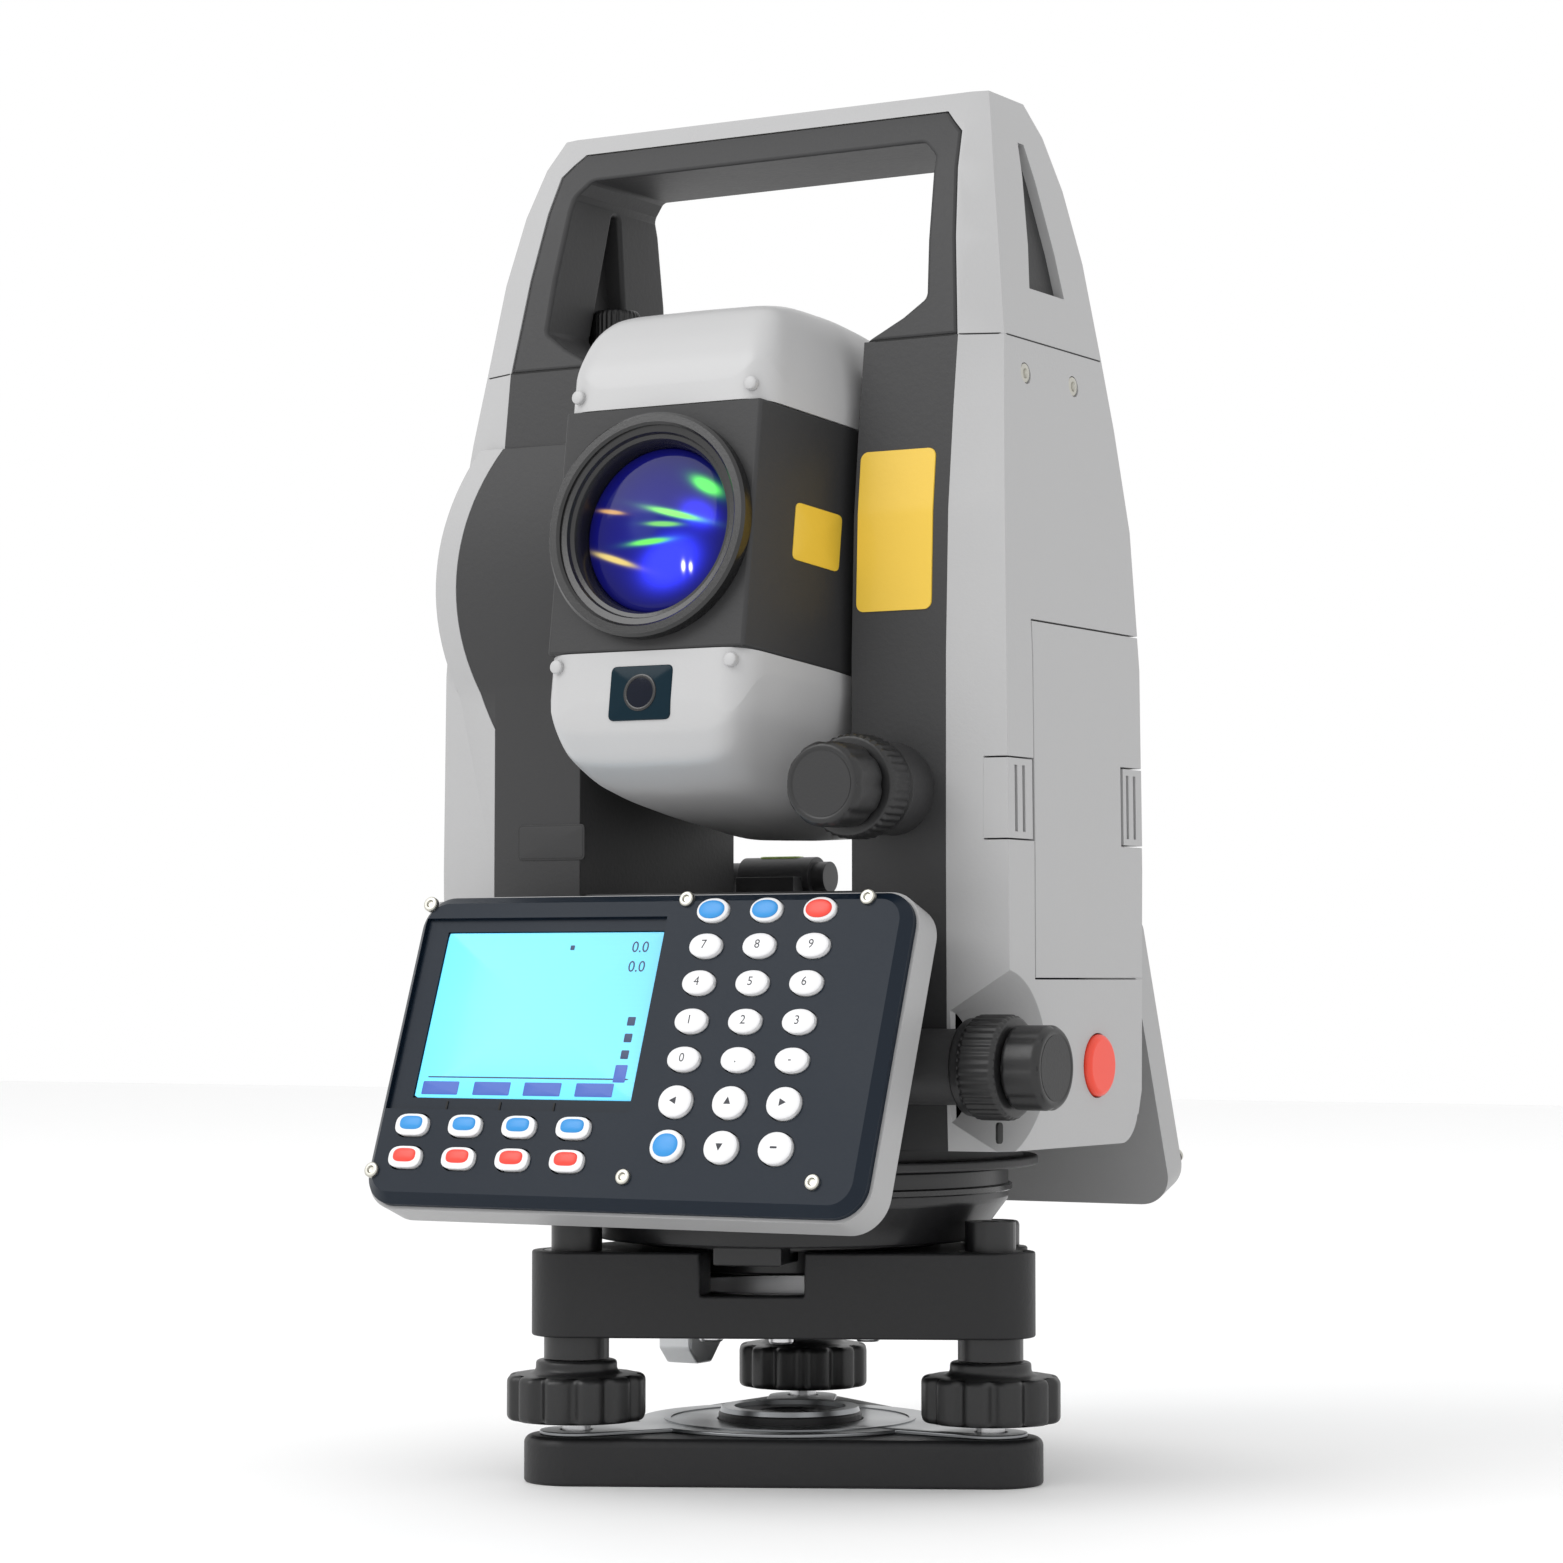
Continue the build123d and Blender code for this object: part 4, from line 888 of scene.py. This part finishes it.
class TOTALSTATION_OT_handle(bpy.types.Operator):
    """Carrying handle with its thumb screws"""

    bl_idname = "totalstation.handle"
    bl_label = "Handle"

    def execute(self, context):
        softened("handle_shell", sizes().cover_edge, "cover", "alidade", angle=24)
        softened("handle_liner", sizes().edge * 1.2, "casting", "alidade", angle=24)
        front = np.array([(41.0, -31.04), (64.7, -31.04), (75.05, -26.64)])
        leg = np.vstack([front, front[::-1] * [1, -1]])
        head = [(0.01, 284.05), (5.8, 284.05), (6.4, 284.7), (6.4, 295.6), (5.6, 296.9), (0.01, 297.0)]
        for side, x in (("left", -52.5), ("right", 52.5)):
            node = "handle_screw_" + side
            knob = moved(turned(rounded_profile(head, 0.5), 180, fluted(30, 0.3, 5.9)), shifted(x))
            piece(node + "_knob", [knob], "knob", node, (node,))
        for side, sign in (("left", -1), ("right", 1)):
            outline = soft_outline(leg * [sign, 1], 0.8, 120)
            seam = layered(outline, [(0.0, 277.32), (0.0, 277.68)])
            piece("handle_seam_" + side, [seam], "slot", "alidade")
            lining = moved(self.window_lining(), mirrored(sign))
            piece("handle_window_" + side, [lining], "casting", "alidade")
        return {"FINISHED"}

    def window_lining(self):
        """Dark back of a leg's window: a tapering wedge, set in from the shell by an even depth."""
        z = np.linspace(291.02, 328.8, 24)
        out = np.interp(z, [277.5, 302.0, 320.0, 333.0], [75.0, 71.6, 68.2, 65.0]) - 2.6
        half = np.interp(z, [291.0, 329.0], [9.46, 1.56])
        near = np.full_like(z, 59.0)
        corners = ((near, -half), (out, -half), (out, half), (near, half))
        rows = [np.stack([x, y, z], axis=-1) for x, y in corners]
        return grid(np.stack(rows, axis=1), low=True, high=True)


# ---------------------------------------------------------------- panels
class TOTALSTATION_OT_panels(bpy.types.Operator):
    """Both control panels with their displays and screws"""

    bl_idname = "totalstation.panels"
    bl_label = "Control panels"

    def execute(self, context):
        s = sizes()
        screws = []
        for side, place in PANELS.items():
            softened(side + "_panel_shell", s.panel_edge, "rim", "alidade", angle=40)
            softened(side + "_panel_face", 0.0, "face", "alidade")
            coated("slot", side + "_screen")
            glass = rounded_box(63.2, 42.7, 0.5, -2.0, SCREEN_TOP, 0.1, (-28.5, 8.6))
            piece(side + "_display", [moved(glass, place)], "display", "alidade")
            self.readout(side, place)
            screws += [moved(self.screw_head(), shifted(x, y), place) for x, y in PANEL_SCREWS]
        side_heads = []
        for y in (-17.0, 9.0):
            head = moved(self.screw_head(2.45, 1.35), along_x(y, 269.0, 74.4))
            side_heads += [head, moved(head, mirrored(-1))]
        piece("panel_screw_heads", screws, "bright", "alidade", ("cover_screws",))
        piece("side_screw_heads", side_heads, "bright", "alidade")
        return {"FINISHED"}

    def screw_head(self, radius=1.9, height=0.9):
        """Pan head with a dished middle: rim rounded by a quarter circle, socket sunk half its height."""
        a = np.linspace(0, pi / 2, 5)
        rim = list(zip(radius - 0.4 * (1 - np.cos(a)), height - 0.4 * (1 - np.sin(a))))
        socket = [(radius * 0.52, height), (radius * 0.38, height * 0.45), (0.01, height * 0.4)]
        return turned([(radius * 0.55, -0.4), (radius, -0.4)] + rim + socket, 40)

    def readout(self, side, place):
        """Two zero readings, small marks, and the menu boxes along the foot of the screen."""
        low = SCREEN_TOP - 0.01
        ink = [lettering("0.0", 4.0, (-3.6, y), SCREEN_TOP, 0.05) for y in (26.0, 21.0)]
        ink.append(rounded_box(58.0, 0.35, 0.1, low, -1.5, 0.02, (-28.5, -7.4)))
        ink += [rounded_box(2.2, 2.2, 0.3, low, -1.5, 0.05, (-2.0, y)) for y in (7.2, 3.0, -1.2)]
        ink.append(rounded_box(1.2, 1.2, 0.2, -1.51, -1.48, 0.03, (-23.0, 26.0)))
        menu = [rounded_box(10.6, 3.4, 0.3, low, -1.49, 0.05, (x, -10.2)) for x in MENU_COLUMNS]
        menu.append(rounded_box(3.4, 4.4, 0.3, low, -1.49, 0.05, (-2.2, -6.0)))
        ticks = [rounded_box(0.5, 2.6, 0.1, -1.3, -0.95, 0.05, (x, -15.0)) for x in (-49.6, -34.2, -18.7)]
        for name, shapes, finish, slot in (
            ("_readout", ink, "screen_ink", "screen"), ("_menu_boxes", menu, "menu", "screen"),
            ("_recess_marks", ticks, "slot", "panel_face"),
        ):
            piece(side + name, [moved(shape, place) for shape in shapes], finish, "alidade")


class TOTALSTATION_OT_keys(bpy.types.Operator):
    """Rubber keys with their coloured caps and signs"""

    bl_idname = "totalstation.keys"
    bl_label = "Keys"

    def execute(self, context):
        for side, place in PANELS.items():
            self.number_keys(side, place)
            self.arrow_keys(side, place)
            self.soft_keys(side, place)
        return {"FINISHED"}

    def caps(self, outline, spots, low, high, place, dome=None):
        """The same crowned cap at each spot of a panel."""
        dome = sizes().key_dome if dome is None else dome
        cap = crowned(outline, low, high, dome)
        return [moved(cap, shifted(x, y), place) for x, y in spots]

    def number_keys(self, side, place):
        """White oval keys; the upper row carries two blue caps and a red one."""
        oval, inner = lozenge(4.3, 3.0, 2.15), lozenge(3.5, 2.3, 2.15)
        spots = [(x, y) for y in NUMBER_ROWS for x in PAD_COLUMNS]
        body = side + "_number_keys"
        caps = self.caps(oval, spots, KEY_FOOT, 1.6, place)
        piece(body + "_caps", caps, "white_key", body, (body,))
        signs = zip("7894561230.-", spots)
        marks = [moved(lettering(sign, 3.1, spot, 1.52, 0.07), place) for sign, spot in signs]
        upper_body = side + ("_function_keys" if side == "front" else "_arrow_keys")
        stands_for = (upper_body,) if side == "front" else ()
        spots = [(x, UPPER_ROW) for x in PAD_COLUMNS]
        rims = self.caps(oval, spots, KEY_FOOT, 1.3, place)
        piece(side + "_upper_key_rims", rims, "white_key", upper_body, stands_for)
        blue = self.caps(inner, spots[:2], 0.6, 1.6, place, 0.5)
        piece(side + "_upper_blue_caps", blue, "blue_key", upper_body)
        red = self.caps(inner, spots[2:], 0.6, 1.6, place, 0.5)
        piece(side + "_upper_red_cap", red, "red_key", upper_body)
        piece(side + "_number_signs", marks, "ink", body)

    def arrow_keys(self, side, place):
        """Rounder keys below; the first of the last row is blue."""
        spots = [(x, y) for y in ARROW_ROWS for x in PAD_COLUMNS]
        body = side + "_arrow_keys"
        caps = self.caps(lozenge(4.4, 3.9, 2.1), spots, KEY_FOOT, 1.6, place)
        piece(body + "_caps", caps, "white_key", body, (body,))
        blue = self.caps(lozenge(3.5, 3.0, 2.1), spots[3:4], 0.9, 1.8, place, 0.6)
        piece(body + "_blue_cap", blue, "blue_key", body)
        turns = {0: 180, 1: 90, 2: 0, 4: 270}
        marks = [arrow(spots[index], 1.1, degrees, 1.4, 1.66) for index, degrees in turns.items()]
        marks.append(rounded_box(1.8, 0.5, 0.2, 1.4, 1.66, 0.05, spots[5]))
        piece(side + "_arrow_signs", [moved(mark, place) for mark in marks], "ink", body)

    def soft_keys(self, side, place):
        """Two rows of soft keys: white surrounds with blue caps above and red caps below."""
        body = side + "_soft_keys"
        outline = soft_outline(oblong(4.65, 2.7), 3.6, 72)
        inner = soft_outline(oblong(3.3, 1.75), 2.6, 72)
        spots = [(x, y) for y in SOFT_ROWS for x in SOFT_COLUMNS]
        rims = self.caps(outline, spots, KEY_FOOT, 1.25, place, 0.4)
        piece(body + "_rims", rims, "white_key", body, (body,))
        for y, tone, slot in zip(SOFT_ROWS, ("blue", "red"), ("key_blue", "trigger_red")):
            caps = self.caps(inner, [(x, y + 0.35) for x in SOFT_COLUMNS], 0.9, 1.6, place, 0.5)
            piece(body + "_" + tone + "_caps", caps, tone + "_key", body)


# ---------------------------------------------------------------- telescope
def plan_outline():
    """Telescope seen from above: full width amidships, drawn in towards both ends."""
    right = np.array([(NOSE_HALF, BODY_FRONT), (BODY_HALF, -SHOULDER), (BODY_HALF, SHOULDER), (26.0, 62.0)])
    left = right[::-1] * [-1, 1]
    return soft_outline(np.vstack([left[-1:], right, left[:-1]]), 7.0, 192)


def hood(side_line, front_line, base, sign):
    """Cover as a height over the telescope's plan.

    A point is u times the plan outline, with u running from the middle to the edge. Its height is the
    smooth least of the side line at its y and the front line at its share of the width.
    """
    side_line, front_line = np.asarray(side_line, float), np.asarray(front_line, float)
    outline = plan_outline()
    s = np.linspace(0.0, 1.0, 40)[:, None, None]
    u = 1 - (1 - s) ** 2.2
    flat = np.maximum(u, 0.004) * outline[None]
    along = np.interp(flat[..., 1], *side_line.T)
    width = np.interp(np.abs(flat[..., 1]), [0, SHOULDER, -BODY_FRONT], [BODY_HALF, BODY_HALF, 27.8])
    across = np.interp(np.abs(flat[..., 0]) * BODY_HALF / width, *front_line.T)
    k = 3.2
    height = -k * np.log(np.exp(-along / k) + np.exp(-across / k)) + 0.6
    height = np.maximum(height, base)
    for _ in range(3):
        height[1:-1] = (height[:-2] + 2 * height[1:-1] + height[2:]) / 4
        height = (np.roll(height, 1, axis=1) + 2 * height + np.roll(height, -1, axis=1)) / 4
    height = np.minimum(height, 63.4)
    rows = np.concatenate([flat, sign * height[..., None]], axis=-1)
    level = np.full((len(outline), 1), sign * base)
    inner, floor = [np.concatenate([outline * share, level], axis=-1)[None] for share in (0.3, 1.0)]
    return grid(np.concatenate([inner, floor, rows[::-1]]), low=True, high=True)


class TOTALSTATION_OT_telescope(bpy.types.Operator):
    """Telescope body, its light covers, sight and fittings"""

    bl_idname = "totalstation.telescope"
    bl_label = "Telescope"

    def execute(self, context):
        softened("telescope_body", 1.2, "telescope", "telescope", angle=25)
        self.hoods()
        self.window()
        self.sight()
        self.screws()
        coated("steel", "trunnion_stubs")
        coated("disc", "vertical_circle")
        return {"FINISHED"}

    def hoods(self):
        """Light covers above and below, from their side and front lines."""
        top_side = [(-66.2, 33.0), (-65.4, 40.0), (-61.5, 50.5), (-56.0, 56.5), (-45.0, 60.3)]
        top_side += [(-18.0, 63.2), (14.0, 63.2), (42.0, 57.5), (58.0, 45.5), (62.2, 32.0)]
        top_front = [(0.0, 64.5), (20.0, 63.0), (27.0, 59.0), (31.5, 52.0), (34.8, 43.0)]
        low_side = [(-66.2, 38.0), (-65.6, 48.5), (-61.0, 56.5), (-47.0, 62.0), (-15.0, 64.3)]
        low_side += [(16.0, 63.2), (44.0, 56.2), (60.0, 44.5), (62.2, 32.0)]
        low_front = [(0.0, 65.5), (16.0, 64.0), (24.0, 60.5), (30.0, 54.0), (34.5, 44.0)]
        foot = [(36.2, 34.0), (36.5, 31.0)]
        for name, side, front, sign in (("top", top_side, top_front, 1), ("bottom", low_side, low_front, -1)):
            cover = moved(hood(side, front + foot, 30.35, sign), tilted)
            name = "telescope_" + name
            stands_for = (name + "_cover",)
            piece(name + "_hood", [cover], "cover_smooth", "telescope", stands_for, 60)

    def window(self):
        """Dark distance window with its round lens, set into the lower hood."""
        place = along_y(0.0, -40.6, BODY_FRONT + 0.1)
        plate = rounded_box(17.4, 13.3, 1.6, -1.6, 0.35, 0.4)
        ring = turned([(3.5, 0.0), (4.5, 0.0), (4.5, 0.5), (4.2, 0.62), (3.7, 0.5)], 64, closed=True)
        eye = turned([(3.7, 0.0), (3.7, 0.40), (2.6, 0.46), (0.01, 0.5)], 64)
        for name, shape, finish, stands_for in (
            ("glass", plate, "window", ("distance_window",)), ("ring", ring, "ring", ()),
            ("lens", eye, "window_lens", ()),
        ):
            shape = moved(shape, place, tilted)
            piece("distance_window_" + name, [shape], finish, "telescope", stands_for)

    def sight(self):
        """Collimating sight: a thin tube with a black rim, a bright front face and a foot."""
        place = along_y(0.0, 66.2, 30.0)
        shell = turned([(2.6, 0.0), (3.2, 0.0), (3.2, 38.0), (2.6, 38.0)], 48, closed=True)
        foot = rounded_box(4.0, 20.0, 1.0, 62.8, 64.4, 0.4, (0.0, 4.0))
        barrel = [moved(shell, place, tilted), moved(foot, tilted)]
        piece("sight_barrel", barrel, "ring", "telescope", ("sight_tube",))
        face = turned([(0.01, 30.0), (2.55, 30.0), (2.55, 37.2), (0.01, 37.3)], 40)
        piece("sight_face", [moved(face, place, tilted)], "white_key", "telescope")

    def screws(self):
        """Cover screws: short rounded studs at the front corners of both hoods."""
        profile = [(0.01, -1.0), (1.7, -1.0), (1.7, 0.7), (1.1, 0.95), (0.01, 1.0)]
        stud = turned(rounded_profile(profile, 0.3), 32)
        studs = [moved(stud, along_y(x, z, BODY_FRONT), tilted) for x in (-24.5, 24.5) for z in (-33.4, 34.0)]
        stands_for = ("telescope_screws",)
        piece("telescope_screw_heads", studs, "cover_smooth", "telescope", stands_for)


class TOTALSTATION_OT_optics(bpy.types.Operator):
    """Objective, focusing ring and eyepiece"""

    bl_idname = "totalstation.optics"
    bl_label = "Optics"

    def execute(self, context):
        self.objective()
        self.eye_end()
        return {"FINISHED"}

    def objective(self):
        """Stepped ring with the domed lens set back in it."""
        front = along_y(0.0, 0.0, BODY_FRONT)
        rim = [(27.6, 0.05), (27.7, 1.2), (27.7, 3.4), (27.0, 4.15), (25.2, 4.15), (24.6, 3.5), (24.6, 2.9)]
        rim += [(23.0, 2.7), (22.6, 1.8), (21.6, 1.5), (21.0, 0.4)]
        rim += [(20.45, -2.0), (20.35, -7.8), (20.9, -7.9), (20.9, 0.05)]
        ring = moved(turned(rim, 160, closed=True), front, tilted)
        stands_for = ("objective_ring",)
        piece("objective_ring_stepped", [ring], "ring", "telescope", stands_for, 32)
        bow = [(20.3 * cos(a), -3.2 + 2.2 * sin(a)) for a in np.linspace(0.1, 1.55, 12)]
        dome = moved(turned([(20.3, -7.9), (20.3, -3.2)] + bow, 96), front, tilted)
        piece("objective_lens_dome", [dome], "lens", "telescope", ("objective_lens",), 60)

    def eye_end(self):
        """Ribbed focusing ring and knurled eyepiece at the rear."""
        focus = [(10.2, 62.4), (18.2, 62.4), (18.9, 63.2), (18.9, 71.0), (18.2, 71.8), (14.0, 71.9)]
        focus += [(12.5, 71.5), (10.2, 71.5)]
        grip = turned(rounded_profile(focus + focus[:1], 0.4), 216, fluted(36, 0.6, 18.0))
        grip = moved(grip, towards_rear, tilted)
        piece("focusing_ring_ribbed", [grip], "knob", "focusing_ring", ("focusing_ring",))
        eye = [(5.2, 56.2), (9.9, 56.2), (9.9, 72.4), (11.8, 72.5), (11.95, 73.2), (11.95, 77.6)]
        eye += [(10.6, 78.8), (7.4, 78.9), (6.0, 77.4), (5.2, 76.8)]
        cup = turned(rounded_profile(eye + eye[:1], 0.4), 220, fluted(44, 0.25, 11.2))
        cup = moved(cup, towards_rear, tilted)
        piece("eyepiece_cup", [cup], "ring", "eyepiece", ("eyepiece",))
        glass = turned([(0.01, 70.0), (5.15, 70.0), (5.15, 75.6), (3.4, 76.1), (0.01, 76.3)], 40)
        glass = moved(glass, towards_rear, tilted)
        piece("eyepiece_glass", [glass], "window_lens", "eyepiece")


# ---------------------------------------------------------------- drives and labels
class TOTALSTATION_OT_drives(bpy.types.Operator):
    """Clamp collars and tangent knobs of both drives"""

    bl_idname = "totalstation.drives"
    bl_label = "Drives"

    def execute(self, context):
        softened("drive_sleeves", 0.4, "casting", "alidade")
        self.drive("vertical", along_y(50.5, 168.0, -48.0), 12.0, 24.5)
        self.drive("horizontal", along_x(-40.0, 102.0, 71.7), 13.0, 23.3)
        return {"FINISHED"}

    def drive(self, name, place, collar_end, knob_end):
        """A knurled clamp collar, and beyond it a tangent knob with eight shallow flats."""
        collar = [(3.1, 0.35), (10.8, 0.35), (11.6, 1.0), (11.6, 3.0), (12.45, 3.8)]
        collar += [(12.45, collar_end - 1.2), (11.6, collar_end - 0.1), (3.1, collar_end - 0.1)]
        knurl = fluted(sizes().knurl_count, sizes().knurl_depth, 11.8)
        shape = moved(turned(rounded_profile(collar + collar[:1], 0.5), 240, knurl), place)
        node = name + "_clamp"
        piece(node + "_collar", [shape], "knob", node, (node,))
        knob = [(0.01, -6.0), (2.95, -6.0), (2.95, collar_end + 0.3), (9.4, collar_end + 0.35)]
        knob += [(10.1, collar_end + 1.1), (10.15, knob_end - 1.5), (9.2, knob_end - 0.1)]
        knob += [(8.2, knob_end - 0.05), (7.9, knob_end - 0.25), (0.01, knob_end - 0.3)]
        shape = moved(turned(rounded_profile(knob, 0.6), 160, fluted(8, 0.4, 9.4, 4)), place)
        node = name + "_tangent"
        piece(node + "_knob", [shape], "knob", node, (node,))
        disc = [(7.7, knob_end - 0.5), (7.7, knob_end - 0.16), (0.01, knob_end - 0.12)]
        piece(node + "_knob_disc", [moved(turned(disc, 64), place)], "knob_face", node)


class TOTALSTATION_OT_labels(bpy.types.Operator):
    """Blank yellow labels on the right standard and the telescope"""

    bl_idname = "totalstation.labels"
    bl_label = "Blank labels"

    def execute(self, context):
        plate = rounded_box(16.0, 14.0, 1.6, -0.1, 0.25, 0.1)
        piece("standard_label", [self.bent_plate(50.4, 10.3, 211.0, 250.0)], "label", "alidade")
        piece("telescope_label", [moved(plate, self.on_side, tilted)], "label", "telescope")
        return {"FINISHED"}

    def bent_plate(self, middle, half_width, low, high):
        """Thin plate bent over the right standard's front, with round corners.

        Within a corner's radius c of an end its half width is smaller by c - sqrt(c^2 - (c - reach)^2).
        """
        corner = sizes().label_corner
        z = low + (high - low) * (0.5 - 0.5 * np.cos(np.linspace(0.0, pi, 61)))
        reach = np.minimum(np.minimum(z - low, high - z), corner)
        half = half_width - (corner - np.sqrt(corner**2 - (corner - reach) ** 2))
        front = -np.interp(z, [200.0, 235.0, 260.0], [37.5, 36.2, 33.4])
        edges = ((-half, 0.02), (0.1 - half, 0.3), (half - 0.1, 0.3), (half, 0.02))
        rows = [np.stack([middle + across, front - out, z], axis=-1) for across, out in edges]
        return grid(np.stack(rows, axis=1), low=True, high=True)

    def on_side(self, points):
        """The telescope's +X side between its shoulder and its front, where the plan runs in."""
        lean = np.arctan2(BODY_HALF - NOSE_HALF, -BODY_FRONT - SHOULDER)
        along, up, out = points.T
        x = 33.12 + along * sin(lean) + out * cos(lean)
        y = -44.5 + along * cos(lean) - out * sin(lean)
        return np.stack([x, y, up + 0.8], axis=-1)


# ---------------------------------------------------------------- sidebar
STEPS = [
    TOTALSTATION_OT_stage, TOTALSTATION_OT_tribrach, TOTALSTATION_OT_foot_screws, TOTALSTATION_OT_base,
    TOTALSTATION_OT_standards, TOTALSTATION_OT_handle, TOTALSTATION_OT_panels, TOTALSTATION_OT_keys,
    TOTALSTATION_OT_telescope, TOTALSTATION_OT_optics, TOTALSTATION_OT_drives, TOTALSTATION_OT_labels,
]


class TOTALSTATION_PT_sidebar(bpy.types.Panel):
    """Steps and settings of the instrument"""

    bl_label = "Total Station"
    bl_space_type = "VIEW_3D"
    bl_region_type = "UI"
    bl_category = "Total Station"

    def draw(self, context):
        for step in STEPS:
            self.layout.operator(step.bl_idname)
        for group in (colours(), sizes(), context.scene.total_station_stage):
            for name in group.bl_rna.properties.keys():
                if name not in ("rna_type", "name"):
                    self.layout.prop(group, name)


CLASSES = [TotalStationColours, TotalStationSizes, TotalStationStage] + STEPS + [TOTALSTATION_PT_sidebar]


def register():
    """Adds the classes and their settings."""
    for item in CLASSES:
        bpy.utils.register_class(item)
    bpy.types.Scene.total_station_colours = bpy.props.PointerProperty(type=TotalStationColours)
    bpy.types.Scene.total_station_sizes = bpy.props.PointerProperty(type=TotalStationSizes)
    bpy.types.Scene.total_station_stage = bpy.props.PointerProperty(type=TotalStationStage)


def unregister():
    """Takes the classes and their settings away."""
    del bpy.types.Scene.total_station_colours
    del bpy.types.Scene.total_station_sizes
    del bpy.types.Scene.total_station_stage
    for item in reversed(CLASSES):
        bpy.utils.unregister_class(item)


def main():
    """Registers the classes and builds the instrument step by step."""
    register()
    for step in STEPS:
        group, name = step.bl_idname.split(".")
        getattr(getattr(bpy.ops, group), name)()


if __name__ == "__main__":
    main()
